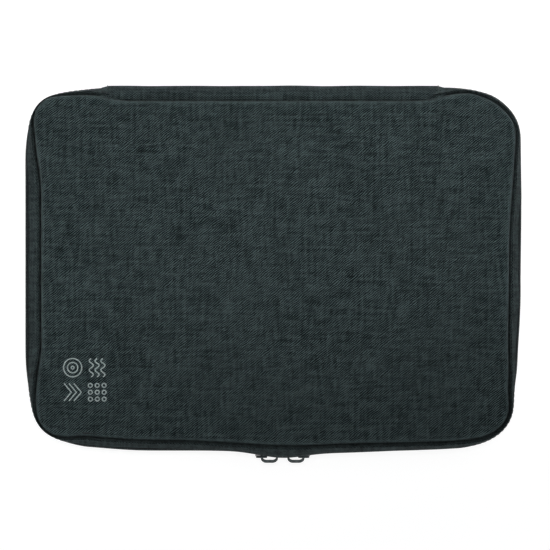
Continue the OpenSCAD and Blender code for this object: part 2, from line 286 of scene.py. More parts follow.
def zip_out(place):
    """The tapes, the coils and the linings follow the corners' pulls, and pass the sliders straight."""
    return lip_out(REAR, place)


def seam_in(half, place):
    """How far a panel's seam lies inside the lips: even on the rear, deepest at the left of the front."""
    if half is REAR:
        return REAR_SEAM_IN
    left = max(0.0, -place.nx) ** 5
    right = max(0.0, place.nx) ** 8
    back = max(0.0, place.ny) ** 8
    front = max(0.0, -place.ny) ** 8
    corner = LEFT_CORNER_IN
    if place.nx > 0.0:
        corner = BACK_CORNER_IN if place.ny > 0.0 else FRONT_CORNER_IN
    depth = corner * max(0.0, 1.0 - left - right - back - front)
    # Each side has a depth near its corners and some more, or less, along its middle
    depth += left * (0.0030 + 0.0052 * plateau(place.y, -0.066, -0.036, 0.036, 0.080))
    depth += right * (0.0024 + 0.0039 * plateau(place.y, -0.080, -0.018, 0.012, 0.080))
    depth += back * (0.0024 + 0.0044 * (1.0 - ease(abs(place.x), 0.068, 0.096)))
    depth += front * (0.0046 - 0.00075 * math.tanh(place.x / 0.040) - 0.0019 * bump(place.x, 0.004, 0.030))
    return depth


def seam_out(half, place):
    """Where a panel's seam runs; the sliders don't move it."""
    return zip_out(place) - seam_in(half, place)


# Mesh making

# Edges that fold more sharply than this are shaded as edges
CREASE = math.radians(60.0)


class Cut:
    """Gathers the points, faces, weave coordinates and rubbed edges of one piece; on the panels the rubbed
    ridge is also a painted highlight.
    """

    def __init__(self):
        self.points = []
        self.faces = []
        self.weave = []
        self.wear = {}

    def add(self, points):
        first = len(self.points)
        self.points.extend(tuple(p) for p in points)
        return list(range(first, len(self.points)))

    def face(self, corners, weave, flip=False):
        if flip:
            corners = corners[::-1]
            weave = weave[::-1]
        self.faces.append(corners)
        self.weave.extend(weave)

    def make(self, name, material):
        mesh = bpy.data.meshes.new(name)
        mesh.from_pydata(self.points, [], self.faces)
        layer = mesh.uv_layers.new(name="weave")
        layer.data.foreach_set("uv", [value for pair in self.weave for value in pair])
        # How rubbed each point is, and along the panels' ridge also how much painted highlight it takes
        worn = mesh.attributes.new("wear", "FLOAT", "POINT")
        worn.data.foreach_set("value", [self.wear.get(i, 0.0) for i in range(len(self.points))])
        mesh.polygons.foreach_set("use_smooth", [True] * len(mesh.polygons))
        mesh.set_sharp_from_angle(angle=CREASE)
        mesh.materials.append(material)
        return stand(name, mesh)


def stand(name, data):
    """Puts a mesh, a lamp or a camera in the scene."""
    made = bpy.data.objects.new(name, data)
    bpy.context.scene.collection.objects.link(made)
    return made


def settle(piece, body, slot, *nodes):
    """Puts a piece on its body and hides the solids that it stands for; its slot is not used."""
    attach(piece, body)
    if nodes:
        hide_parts(*nodes)
    return piece


def running(points):
    """Distance along a row of points."""
    total = 0.0
    lengths = [0.0]
    for a, b in zip(points, points[1:]):
        total += (Vector(b) - Vector(a)).length
        lengths.append(total)
    return lengths


def sweep(cut, places, section, half, total=None, clockwise=False):
    """Carries a closed section round the places. With total, the length round, the ring closes on itself.

    A section runs anticlockwise, seen with the way out to the right, unless it is said to run clockwise.
    """
    flip = (half is FRONT) != clockwise
    rows = []
    for place in places:
        points = [point_at(half, place, out, height) for out, height in section(place)]
        rows.append((cut.add(points), running(points + points[:1]), place.along))
    pairs = list(zip(rows, rows[1:]))
    if total:
        pairs.append((rows[-1], (rows[0][0], rows[0][1], total)))
    for (ids, lengths, u), (next_ids, next_lengths, next_u) in pairs:
        count = len(ids)
        for j in range(count):
            k = (j + 1) % count
            weave = [(u, lengths[j]), (next_u, next_lengths[j]), (next_u, next_lengths[j + 1]),
                     (u, lengths[j + 1])]
            cut.face([ids[j], next_ids[j], next_ids[k], ids[k]], weave, flip)
    if not total:
        for ids, lengths, u, back in ((*rows[0], False), (*rows[-1], True)):
            cut.face(list(ids), [(u, value) for value in lengths[:-1]], flip != back)


def slab(cut, upper, lower):
    """A strip with thickness from two grids of points, upper and lower, given row by row."""
    across = running(upper[0])
    down = running([row[0] for row in upper])
    top = [cut.add(row) for row in upper]
    bottom = [cut.add(row) for row in lower]
    last_row = len(upper) - 1
    last = len(upper[0]) - 1
    for i in range(last_row):
        for j in range(last):
            weave = [(across[j], down[i]), (across[j + 1], down[i]), (across[j + 1], down[i + 1]),
                     (across[j], down[i + 1])]
            cut.face([top[i][j], top[i][j + 1], top[i + 1][j + 1], top[i + 1][j]], weave)
            cut.face([bottom[i][j], bottom[i][j + 1], bottom[i + 1][j + 1], bottom[i + 1][j]], weave, True)
    for i in range(last_row):
        for j, flip in ((0, True), (last, False)):
            here = (across[j], down[i])
            below = (across[j], down[i + 1])
            wall = [top[i][j], bottom[i][j], bottom[i + 1][j], top[i + 1][j]]
            cut.face(wall, [here, here, below, below], flip)
    for j in range(last):
        for i, flip in ((0, False), (last_row, True)):
            here = (across[j], down[i])
            beside = (across[j + 1], down[i])
            wall = [top[i][j], bottom[i][j], bottom[i][j + 1], top[i][j + 1]]
            cut.face(wall, [here, here, beside, beside], flip)


def tube(cut, path, radii, sides=6, up=Vector((0.0, 0.0, 1.0))):
    """A round wire or thread along a path, with a radius at each point and closed ends."""
    points = [Vector(p) for p in path]
    last = len(points) - 1
    rings = []
    side = None
    for i, p in enumerate(points):
        way = (points[min(i + 1, last)] - points[max(i - 1, 0)]).normalized()
        if side is None:
            side = way.cross(up)
            if side.length < 0.1:
                side = way.cross(Vector((1.0, 0.0, 0.0)))
        side = (side - way * side.dot(way)).normalized()
        other = way.cross(side)
        ring = []
        for k in range(sides):
            a = 2.0 * math.pi * k / sides
            ring.append(p + (side * math.cos(a) + other * math.sin(a)) * radii[i])
        rings.append(cut.add(ring))
    lengths = running(points)
    for i in range(last):
        for k in range(sides):
            n = (k + 1) % sides
            u = k / sides * 2.0 * math.pi * radii[i]
            v = (k + 1) / sides * 2.0 * math.pi * radii[i]
            weave = [(u, lengths[i]), (v, lengths[i]), (v, lengths[i + 1]), (u, lengths[i + 1])]
            cut.face([rings[i][k], rings[i][n], rings[i + 1][n], rings[i + 1][k]], weave)
    cut.face(rings[0][::-1], [(0.0, 0.0)] * sides)
    cut.face(rings[-1], [(0.0, lengths[-1])] * sides)


# One stitch: shares of its length, how proud the thread lies there, None where it dips in, and its thickness
STITCH_SHAPE = ((0.10, None, 0.6), (0.22, 0.4, 0.9), (0.5, 1.0, 1.0), (0.78, 0.4, 0.9), (0.90, None, 0.6))


def sew(cut, path, outs, pitch=None, proud=0.00013, r=0.00021):
    """A row of stitches along a path; outs are the ways out of the fabric at the path's points."""
    lengths = running(path)
    total = lengths[-1]
    count = max(1, int(total / (pitch or sizes().stitch)))
    step = total / count

    def spot(distance):
        low = min(len(lengths) - 2, bisect_right(lengths, distance) - 1)
        high = low + 1
        share = (distance - lengths[low]) / max(1e-9, lengths[high] - lengths[low])
        p = Vector(path[low]).lerp(Vector(path[high]), share)
        out = Vector(outs[low]).lerp(Vector(outs[high]), share).normalized()
        return p, out

    for n in range(count):
        start = n * step
        thread = []
        radii = []
        for share, lift, thick in STITCH_SHAPE:
            p, out = spot(start + share * step)
            thread.append(p + out * (-r if lift is None else proud * lift))
            radii.append(r * thick)
        tube(cut, thread, radii, 5, spot(start + 0.5 * step)[1])


def stitches(name, body, slot, rows, **thread):
    """Rows of stitches as one piece; each row is a path with the ways out of the fabric at its points."""
    cut = Cut()
    for path, outs in rows:
        sew(cut, path, outs, **thread)
    return settle(cut.make(name, thread_finish()), body, slot)


Fill = namedtuple("Fill", "flat faces depth ring near")

# Share of the spacing between the staggered rows of a fill, and the share kept free inside its rings
FILL_ROWS = 0.94
FILL_GAP = 0.55


def fill(places, edge, rings, spacing):
    """Triangles that fill an outline: rings of points along its edge and staggered rows inside."""
    ring = len(places)
    outline = [Vector((p.x + p.nx * edge(p), p.y + p.ny * edge(p))) for p in places]
    coords = []
    for depth in rings:
        coords += [c - Vector((p.nx, p.ny)) * depth for c, p in zip(outline, places)]
    tree = KDTree(ring)
    for i, c in enumerate(outline):
        tree.insert((c.x, c.y, 0.0), i)
    tree.balance()

    def inside(x, y):
        spot, i, distance = tree.find((x, y, 0.0))
        inward = (x - spot.x) * places[i].nx + (y - spot.y) * places[i].ny < 0.0
        return distance if inward else -distance

    columns = int(HALF_L / spacing) + 1
    rows = int(HALF_W / spacing) + 1
    for i in range(-columns, columns + 1):
        for j in range(-rows, rows + 1):
            x = (i + 0.5 * (j % 2)) * spacing
            y = j * spacing * FILL_ROWS
            if inside(x, y) > rings[-1] + spacing * FILL_GAP:
                coords.append(Vector((x, y)))
    border = [(i, (i + 1) % ring) for i in range(ring)]
    flat, _, faces, _, _, _ = delaunay_2d_cdt(coords, border, [], 1, 1e-7)
    depth = [max(0.0, inside(p.x, p.y)) for p in flat]
    near = [places[tree.find((p.x, p.y, 0.0))[1]] for p in flat]
    return Fill(flat, faces, depth, ring, near)


def fill_slab(cut, half, filled, inside, outside, flat=None):
    """A sheet with thickness over a filled outline, and the numbers of its outside points.

    flat gives the cloth's own coordinates where it turns down.
    """
    upper, lower = (inside, outside) if half is REAR else (outside, inside)
    top = cut.add(upper)
    bottom = cut.add(lower)
    flat = flat or [(p.x, p.y) for p in filled.flat]
    for face in filled.faces:
        weave = [flat[i] for i in face]
        cut.face([top[i] for i in face], weave)
        cut.face([bottom[i] for i in face], weave, True)
    for i in range(filled.ring):
        n = (i + 1) % filled.ring
        cut.face([top[i], bottom[i], bottom[n], top[n]], [flat[k] for k in (i, i, n, n)])
    return bottom if half is REAR else top


# The simulated swell of the front panel: the cloth's settings, its length in frames, the depth that is sewn
# fast, and how strongly and how far inside that the edge still holds
SWELL_CLOTH = {
    "quality": 6,
    "mass": 0.002,
    "tension_stiffness": 12.0,
    "compression_stiffness": 12.0,
    "shear_stiffness": 6.0,
    "bending_stiffness": 0.6,
    "air_damping": 4.0,
    "use_pressure": True,
    "uniform_pressure_force": 1.5,
}
SWELL_FRAMES = 18
SEWN_DEPTH = 0.0011
EDGE_HOLD = 0.3
HOLD_REACH = 0.008


def stuffed(filled, points):
    """Lets the padding swell a sheet that is sewn down along its outline, by a cloth simulation."""
    mesh = bpy.data.meshes.new("stuffing")
    mesh.from_pydata([tuple(p) for p in points], [], [list(f) for f in filled.faces])
    sheet = stand("stuffing", mesh)
    pins = sheet.vertex_groups.new(name="sewn")
    for i, depth in enumerate(filled.depth):
        hold = EDGE_HOLD * (1.0 - ease(depth, 0.0, HOLD_REACH))
        pins.add([i], 1.0 if depth < SEWN_DEPTH else hold, "REPLACE")
    cloth = sheet.modifiers.new("Swell", "CLOTH").settings
    for name, value in SWELL_CLOTH.items():
        setattr(cloth, name, value)
    cloth.vertex_group_mass = pins.name
    cloth.effector_weights.gravity = 0.0
    scene = bpy.context.scene
    for number in range(1, SWELL_FRAMES + 1):
        scene.frame_set(number)
    swollen = sheet.evaluated_get(bpy.context.evaluated_depsgraph_get()).data
    limit = sizes().swell
    moved = []
    for p, v in zip(points, swollen.vertices):
        step = v.co - Vector(p)
        if step.length > limit:
            step *= limit / step.length
        moved.append(Vector(p) + step)
    bpy.data.objects.remove(sheet)
    scene.frame_set(1)
    return moved


# Materials

class Wiring:
    """Short names for adding and joining the nodes of one shader tree."""

    def __init__(self, tree):
        self.tree = tree

    def plug(self, socket, value):
        if isinstance(value, NodeSocket):
            self.tree.links.new(value, socket)
        else:
            socket.default_value = value

    def join(self, node, **plugs):
        """Gives each named input of a node its value or the socket that feeds it."""
        for name, value in plugs.items():
            self.plug(node.inputs[name.replace("_", " ")], value)

    def add(self, kind, settings=None, **plugs):
        made = self.tree.nodes.new(kind)
        for name, value in (settings or {}).items():
            setattr(made, name, value)
        self.join(made, **plugs)
        return made

    def math(self, how, *values):
        made = self.add("ShaderNodeMath", {"operation": how})
        for socket, value in zip(made.inputs, values):
            self.plug(socket, value)
        return made.outputs[0]

    def blend(self, share, a, b):
        """Mixes two colours; a colour mix has its own numbered sockets."""
        made = self.add("ShaderNodeMix", {"data_type": "RGBA"})
        for number, value in ((0, share), (6, a), (7, b)):
            self.plug(made.inputs[number], value)
        return made.outputs[2]

    def choose(self, share, first, second, out):
        """Mixes two shaders by a share and joins them to the output."""
        mixed = self.add("ShaderNodeMixShader", Fac=share)
        for number, shader in ((1, first), (2, second)):
            self.plug(mixed.inputs[number], shader.outputs[0])
        self.join(out, Surface=mixed.outputs[0])

    def scaled(self, vector, x, y):
        made = self.add("ShaderNodeVectorMath", {"operation": "MULTIPLY"})
        for socket, value in zip(made.inputs, (vector, (x, y, 1.0))):
            self.plug(socket, value)
        return made.outputs[0]

    def grain(self, vector, scale, detail, dimensions="3D", roughness=0.5):
        return self.add("ShaderNodeTexNoise", {"noise_dimensions": dimensions}, Vector=vector, Scale=scale,
                        Detail=detail, Roughness=roughness).outputs[0]

    def weave(self):
        """Coordinates in metres that follow the yarns."""
        return self.add("ShaderNodeUVMap", {"uv_map": "weave"}).outputs[0]

    def spot(self):
        """Coordinates in metres in the piece."""
        return self.add("ShaderNodeTexCoord").outputs["Object"]

    def effect(self, tree, **values):
        """Places a shared effect with its own values."""
        return self.add("ShaderNodeGroup", {"node_tree": tree}, **values).outputs

    def relief(self, shader, height, strength, distance):
        """Raises the surface by a height."""
        raised = self.add("ShaderNodeBump", Height=height, Strength=strength, Distance=distance)
        self.join(shader, Normal=raised.outputs[0])


def group(name, inputs, outputs, fill_in):
    """A shader node group that is built once and then placed by name. Inputs without a value are vectors."""
    tree = bpy.data.node_groups.get(name)
    if tree:
        return tree
    tree = bpy.data.node_groups.new(name, "ShaderNodeTree")
    for label, default in inputs.items():
        kind = "NodeSocketVector" if default is None else "NodeSocketFloat"
        socket = tree.interface.new_socket(name=label, in_out="INPUT", socket_type=kind)
        if default is not None:
            socket.default_value = default
    for label in outputs:
        tree.interface.new_socket(name=label, in_out="OUTPUT", socket_type="NodeSocketFloat")
    way_in = tree.nodes.new("NodeGroupInput")
    way_out = tree.nodes.new("NodeGroupOutput")
    results = fill_in(Wiring(tree), way_in.outputs)
    for label, result in results.items():
        tree.links.new(result, way_out.inputs[label])
    return tree


def heather_group():
    """Mixed light and dark fibres: short slubs along both yarn directions and single bright floats."""

    def fill_in(w, given):
        along = w.grain(w.scaled(given["Weave"], 75, 720), 1.0, 1.0, "2D")
        across = w.grain(w.scaled(given["Weave"], 670, 80), 1.0, 1.0, "2D")
        slubs = w.math("MULTIPLY_ADD", w.math("ADD", along, across), 0.5, -0.5)
        yarns = w.scaled(given["Weave"], 625, 735)
        cells = w.add("ShaderNodeVectorMath", {"operation": "FLOOR"}, Vector=yarns)
        picked = w.add("ShaderNodeTexWhiteNoise", {"noise_dimensions": "2D"}, Vector=cells.outputs[0])
        floats = w.math("SUBTRACT", picked.outputs[0], 0.5)
        return {"Tone": w.math("ADD", w.math("MULTIPLY", slubs, given["Slubs"]),
                               w.math("MULTIPLY", floats, given["Floats"]))}

    return group("Heather yarn", {"Weave": None, "Slubs": 1.6, "Floats": 0.35}, ["Tone"], fill_in)


def twill_group():
    """Diagonal twill ribs crossed by a weaker counter rib; the sizes are turns per metre."""

    def fill_in(w, given):
        parts = w.add("ShaderNodeSeparateXYZ", Vector=given["Weave"]).outputs
        sway = w.grain(given["Weave"], 300.0, 1.0, "2D")
        u = w.math("MULTIPLY", parts[0], given["Along"])
        v = w.math("MULTIPLY", parts[1], given["Across"])
        swayed = w.math("MULTIPLY_ADD", sway, 1.0, w.math("SUBTRACT", u, v))
        rib = w.math("SINE", w.math("MULTIPLY", swayed, 2.0 * math.pi))
        crossed = w.math("ADD", u, w.math("MULTIPLY", v, 1.19))
        counter = w.math("SINE", w.math("MULTIPLY", crossed, 2.0 * math.pi))
        return {"Height": w.math("SUBTRACT", w.math("MULTIPLY_ADD", counter, 0.42, rib), 0.30)}

    return group("Twill ribs", {"Weave": None, "Along": 709.0, "Across": 840.0}, ["Height"], fill_in)


def plain_group():
    """Yarns over and under each other, with ribs stronger one way."""

    def fill_in(w, given):
        parts = w.add("ShaderNodeSeparateXYZ", Vector=given["Weave"]).outputs
        u = w.math("SINE", w.math("MULTIPLY", parts[0], given["Along"]))
        v = w.math("SINE", w.math("MULTIPLY", parts[1], given["Across"]))
        crossing = w.math("MULTIPLY", u, v)
        return {"Height": w.math("MULTIPLY_ADD", w.math("ABSOLUTE", v), given["Ribs"], crossing)}

    inputs = {"Weave": None, "Along": 5200.0, "Across": 5200.0, "Ribs": 0.0}
    return group("Plain weave", inputs, ["Height"], fill_in)


def wear_and_highlight_group():
    """Rubbed edges, which along the panels' ridge are also a painted highlight, and broad, faint patches of
    use, from the values that the mesh carries and two noises.
    """

    def fill_in(w, given):
        # Rubbed edges, and along the panels' ridge a painted highlight, as the mesh carries them
        worn = w.add("ShaderNodeAttribute", {"attribute_name": "wear"}).outputs["Fac"]
        spot = w.spot()
        patches = w.grain(spot, 38.0, 3.0, roughness=0.55)
        specks = w.grain(spot, 900.0, 2.0)
        edge = w.math("MULTIPLY", worn, w.math("MULTIPLY_ADD", specks, 1.2, 0.4))
        patch = w.math("MULTIPLY", w.math("SUBTRACT", patches, 0.5), given["Patches"])
        return {"Edge": w.math("MULTIPLY", edge, given["Edges"]), "Patch": patch}

    return group("Wear and highlight", {"Edges": 1.0, "Patches": 0.5}, ["Edge", "Patch"], fill_in)


def shade(colour, strength=1.0):
    """A colour, darkened or paled by a strength, as a shader takes it."""
    return (*(min(1.0, value * strength) for value in colour), 1.0)


def finish(name, build):
    """The material of that name; build joins its nodes when it is asked for the first time."""
    made = bpy.data.materials.get(name)
    if made:
        return made
    made = bpy.data.materials.new(name)
    made.use_nodes = True
    build(Wiring(made.node_tree), made.node_tree.nodes["Principled BSDF"])
    return made


def woven(name, dark, light, ribs, turns, slubs, floats, raised, rib_share, roughness, sheen=0.03):
    """A woven fabric: two yarn colours mixed by the heather of its yarns, by its ribs as painted light on
    their crests and painted shade in their hollows, and by its rubbed edges, with a painted highlight along
    the panels' ridge.
    """

    def build(w, shader):
        weave = w.weave()
        ribbed = w.effect(ribs, Weave=weave, **turns)["Height"]
        mixed = w.effect(heather_group(), Weave=weave, Slubs=slubs, Floats=floats)["Tone"]
        worn = w.effect(wear_and_highlight_group(), Edges=0.5, Patches=0.35)
        # The ribs' crests take more of the light colour and their hollows more of the dark one: painted light
        # and shade on the weave, over the heather's own mix
        tone = w.math("MULTIPLY_ADD", ribbed, rib_share, mixed)
        tone = w.math("ADD", tone, worn["Patch"])
        # Rubbed edges lighten the cloth; along the panels' ridge this is also a painted highlight
        tone = w.math("ADD", w.math("ADD", tone, 0.5), worn["Edge"])
        w.join(shader, Base_Color=w.blend(tone, shade(dark), shade(light)),
               Roughness=w.math("MULTIPLY_ADD", mixed, -0.12, roughness),
               Sheen_Weight=sheen, Sheen_Roughness=0.5, Specular_IOR_Level=0.05)
        w.relief(shader, w.math("MULTIPLY_ADD", mixed, 0.8, ribbed), 0.8, raised)

    return finish(name, build)


def outer_twill():
    tint = tints()
    return woven("Charcoal heather twill", tint.twill_dark, tint.twill_light, twill_group(),
                 {"Along": 704.0, "Across": 850.0}, slubs=1.9, floats=0.34, raised=0.00009, rib_share=0.66,
                 roughness=0.85, sheen=0.02)


def lining_cloth():
    tint = tints()
    return woven("Grey lining weave", tint.lining_dark, tint.lining_light, plain_group(),
                 {"Along": 7800.0, "Across": 7800.0, "Ribs": 0.0}, slubs=0.9, floats=0.25, raised=0.00005,
                 rib_share=0.30, roughness=0.72)


def trim_cloth(name, ribs, turns, **looks):
    """The black yarns that bindings, tapes and elastic share."""
    tint = tints()
    return woven(name, tint.trim_dark, tint.trim_light, ribs, turns, floats=0.2, **looks)


def binding_cloth():
    return trim_cloth("Black ribbed binding", plain_group(), {"Along": 6200.0, "Across": 2600.0, "Ribs": 0.8},
                      slubs=0.5, raised=0.00008, rib_share=0.35, roughness=0.75)


def zip_cloth():
    return trim_cloth("Woven zip tape", twill_group(), {"Along": 1500.0, "Across": 1100.0},
                      slubs=0.5, raised=0.00005, rib_share=0.25, roughness=0.7)


def elastic_cloth():
    return trim_cloth("Ribbed elastic", plain_group(), {"Along": 3900.0, "Across": 5200.0, "Ribs": 1.2},
                      slubs=0.4, raised=0.0001, rib_share=0.35, roughness=0.7)


def thread_finish():
    """Twisted sewing thread, with a painted highlight on the twist's crests and painted shade in its grooves.
    """

    def build(w, shader):
        twist = w.effect(twill_group(), Weave=w.weave(), Along=1500.0, Across=2200.0)["Height"]
        tint = tints().thread
        # Darker and paler copies of the one thread colour, picked by the twist's height: painted shade in the
        # grooves, painted highlight on the crests
        share = w.math("MULTIPLY_ADD", twist, 0.35, 0.5)
        w.join(shader, Base_Color=w.blend(share, shade(tint, 0.6), shade(tint, 1.5)), Roughness=0.6)
        w.relief(shader, twist, 0.6, 0.00005)

    return finish("Twisted thread", build)


def nylon_finish():
    """Smooth dyed nylon with a faint drawn grain."""

    def build(w, shader):
        grain = w.effect(heather_group(), Weave=w.weave(), Slubs=0.8, Floats=0.1)["Tone"]
        worn = w.effect(wear_and_highlight_group(), Edges=0.3, Patches=0.6)
        tint = tints().nylon
        share = w.math("ADD", w.math("ADD", grain, worn["Patch"]), 0.5)
        w.join(shader, Base_Color=w.blend(share, shade(tint, 0.7), shade(tint, 1.5)),
               Roughness=w.math("MULTIPLY_ADD", grain, 0.2, 0.38))

    return finish("Dyed nylon", build)


def metal_finish():
    """Dark enamel on a die-cast slider, rubbed through along its edges."""

    def build(w, shader):
        worn = w.effect(wear_and_highlight_group(), Edges=1.0, Patches=1.0)
        cast = w.grain(w.spot(), 1500.0, 3.0)
        points = w.add("ShaderNodeNewGeometry").outputs["Pointiness"]
        rubbed = w.math("MULTIPLY", w.math("SUBTRACT", points, 0.56), 6.0)
        rubbed = w.math("MULTIPLY", rubbed, w.math("MULTIPLY_ADD", cast, 1.6, -0.2))
        share = w.math("MINIMUM", w.math("MAXIMUM", rubbed, 0.0), 0.5)
        tint = tints()
        enamel = w.blend(w.math("ADD", worn["Patch"], 0.5), shade(tint.metal, 0.8), shade(tint.metal, 1.3))
        w.join(shader, Base_Color=w.blend(share, enamel, shade(tint.bare_metal)), Metallic=0.12,
               Specular_IOR_Level=0.22, Roughness=w.math("MULTIPLY_ADD", cast, 0.22, 0.27))
        w.relief(shader, cast, 0.25, 0.00004)

    return finish("Enamelled zip metal", build)


def foam_finish():
    """Open-cell foam, with painted shade in the hollows of its cells."""

    def build(w, shader):
        cells = w.add("ShaderNodeTexVoronoi", Vector=w.spot(), Scale=1600.0).outputs["Distance"]
        worn = w.effect(wear_and_highlight_group(), Edges=0.0, Patches=0.8)
        tint = tints().foam
        # The cells that sink the relief also darken their hollows to a darker copy of the foam colour: painted
        # shade
        share = w.math("ADD", cells, worn["Patch"])
        w.join(shader, Base_Color=w.blend(share, shade(tint, 0.6), shade(tint)), Roughness=0.95)
        w.relief(shader, cells, 0.7, 0.0003)

    return finish("Padding foam", build)


def ink_finish():
    """Screen print that lets the twill show through."""

    def build(w, shader):
        weave = w.weave()
        ribs = w.effect(twill_group(), Weave=weave)["Height"]
        worn = w.effect(heather_group(), Weave=weave, Slubs=1.4, Floats=0.5)["Tone"]
        tint = tints()
        share = w.math("MULTIPLY_ADD", ribs, 0.12, 0.78)
        share = w.math("MINIMUM", w.math("ADD", share, w.math("MULTIPLY", worn, 0.4)), 1.0)
        w.join(shader, Base_Color=w.blend(share, shade(tint.twill_light), shade(tint.print_ink)),
               Roughness=0.7)
        w.relief(shader, ribs, 0.6, 0.00005)

    return finish("Screen print", build)


# Outer shell

# Shares of the gusset's height, from the seam to the lips, and the share at which its crest lies
CREST = 0.90
GUSSET_STEPS = (1.0, 0.975, 0.95, 0.925, 0.90, 0.85, 0.76, 0.64, 0.50, 0.36, 0.22, 0.10, 0.0)

# The groove beside the seam, the crest's rise over the seam, the room under the panel, the cloth's flat width
# and how far its lips are rubbed
GROOVE = 0.0013
CREST_RISE = 0.0012
PANEL_ROOM = 0.0002
LIP_WEAR = 0.35

# Where the lip stitches run, as a share of the gusset's height, how proud they lie and their thread's radius
LIP_STITCHES = 0.34
LIP_PROUD = 0.00002
LIP_THREAD = 0.00014

# Depths of the rings of points along a panel's edge, and the spacing of those inside
PANEL_RINGS = (0.0, 0.00015, 0.00035, 0.0006, 0.0009, 0.0013, 0.0018, 0.0026, 0.0038, 0.0055)
PANEL_SPACING = 0.0032

# How far a panel's cloth is turned in and, in thicknesses, down at its seam, and where its edge is rubbed and
# carries a painted highlight
TURNED_IN = 0.0004
TURNED_DOWN = 1.6
RUB_AND_HIGHLIGHT_DEPTH = 0.0012
RUB_AND_HIGHLIGHT_SPREAD = 0.0007

# The spine strip: thickness, flat width, half of the stretch that bends at its fold, the stitches' inset and
# how far its ends are rubbed
SPINE_CLOTH = 0.00095
SPINE_INSET = 0.003
SPINE_WEAR = 0.7


def gusset_face(reach, t, power=1.6):
    """In and height of the gusset's face: from the lips at t = 0 up to a crest and down to the seam at 1."""
    groove = min(GROOVE, 0.45 * reach)
    crest = SEAM + CREST_RISE
    if t <= CREST:
        share = t / CREST
        return (reach - groove) * share ** power, LIP + (crest - LIP) * share
    share = (t - CREST) / (1.0 - CREST)
    return reach - groove + groove * share, crest + (SEAM + sizes().seam_dip - crest) * share ** 1.5


def gusset_outer(half, place, t):
    """Out and height of the gusset's outer face, from the lips at t = 0 to the seam at t = 1."""
    lip = lip_out(half, place)
    reach = lip - seam_out(half, place) - PANEL_ROOM
    wave = 0.0006 * ripple(place.x, place.y, 55.0, 3.0 if half is FRONT else 9.0)
    inward, height = gusset_face(reach, t)
    return lip - inward + wave * math.sin(math.pi * t) * min(1.0, reach / 0.003), height


def gusset_section(half):
    """The gusset's closed section: up its outer face from the seam, round the folded lip and back."""
    cloth = sizes().fabric

    def section(place):
        lip = lip_out(half, place)
        outer = [gusset_outer(half, place, t) for t in GUSSET_STEPS]
        fold = [(lip - 0.0001, LIP + 0.0002), (lip - cloth / 2, LIP + 0.0003),
                (lip - cloth + 0.0001, LIP + 0.0002)]
        inner = [(out - cloth, height) for out, height in outer[-3:3:-2]]
        seam, height = outer[0]
        return outer + fold + inner + [(seam - cloth / 2, height + 0.0003)]

    return section


def edge_wall(depth):
    """How far a panel's turned edge drops, at a depth inside its seam."""
    size = sizes()
    return (SEAM + size.seam_dip) * math.exp(-depth / size.edge_roll)


def panel_drop(half, x, y, depth):
    """Drop of the padded panel towards its seam: a tight turned edge, its ridge, a long fall to the front."""
    size = sizes()
    wall = edge_wall(depth)
    ridge = -0.00035 * bump(depth, 0.0013, 0.0007)
    puff = 0.0010 * (1.0 - ease(depth, 0.0, size.side_slope))
    if half is REAR:
        return wall + max(0.0, ridge + puff)
    fall = size.front_fall * max(0.0, 1.0 - depth / size.front_slope) ** 2 * ease(-y, 0.015, 0.070)
    dimple = 0.00018 * ripple(x, y, 30.0, 1.0) * ease(depth, 0.001, 0.012)
    return min(SEAM + size.seam_dip + 0.0006, wall + ridge + puff + fall + dimple)


def make_panel(half):
    """One outer panel with its rolled edge, sewn into the gusset."""
    places, _ = lip_places()
    filled = fill(places, lambda p: seam_out(half, p), PANEL_RINGS, PANEL_SPACING)
    outer = []
    for p, depth in zip(filled.flat, filled.depth):
        outer.append(Vector((p.x, p.y, level(half, panel_drop(half, p.x, p.y, depth)))))
    if half is FRONT:
        outer = stuffed(filled, outer)
    cloth = sizes().fabric
    inward = -cloth if half is FRONT else cloth
    inner = [p + Vector((0.0, 0.0, inward)) for p in outer]
    for i, place in enumerate(places):
        inner[i] = outer[i] + Vector((-place.nx * TURNED_IN, -place.ny * TURNED_IN, inward * TURNED_DOWN))
    flat = []
    for p, depth, place in zip(filled.flat, filled.depth, filled.near):
        turned = edge_wall(depth)
        flat.append((p.x + place.nx * turned, p.y + place.ny * turned))
    cut = Cut()
    # The ridge along the turned edge is lightened: partly rubbed cloth, partly a painted highlight
    for i, depth in zip(fill_slab(cut, half, filled, inner, outer, flat), filled.depth):
        cut.wear[i] = bump(depth, RUB_AND_HIGHLIGHT_DEPTH, RUB_AND_HIGHLIGHT_SPREAD)
    piece = cut.make(half.side + "_panel_twill", outer_twill())
    settle(piece, half.body, "outer_fabric", half.side + "_panel")


def make_gusset(half):
    """The gusset that runs round the zip between the panel and the lips, with its row of lip stitches."""
    places = zip_places()
    section = gusset_section(half)
    cut = Cut()
    sweep(cut, places, section, half)
    count = len(section(places[0]))
    lips = len(GUSSET_STEPS)
    for i in range(len(cut.points)):
        if lips - 1 <= i % count < lips + 3:
            cut.wear[i] = LIP_WEAR
    piece = cut.make(half.side + "_gusset_twill", outer_twill())
    settle(piece, half.body, "outer_fabric", half.side + "_gusset")
    path = [point_at(half, place, *gusset_outer(half, place, LIP_STITCHES)) for place in places[2:-2]]
    outs = [(place.nx, place.ny, 0.0) for place in places[2:-2]]
    stitches(half.side + "_lip_stitches", half.body, "outer_fabric", [(path, outs)], proud=LIP_PROUD,
             r=LIP_THREAD)


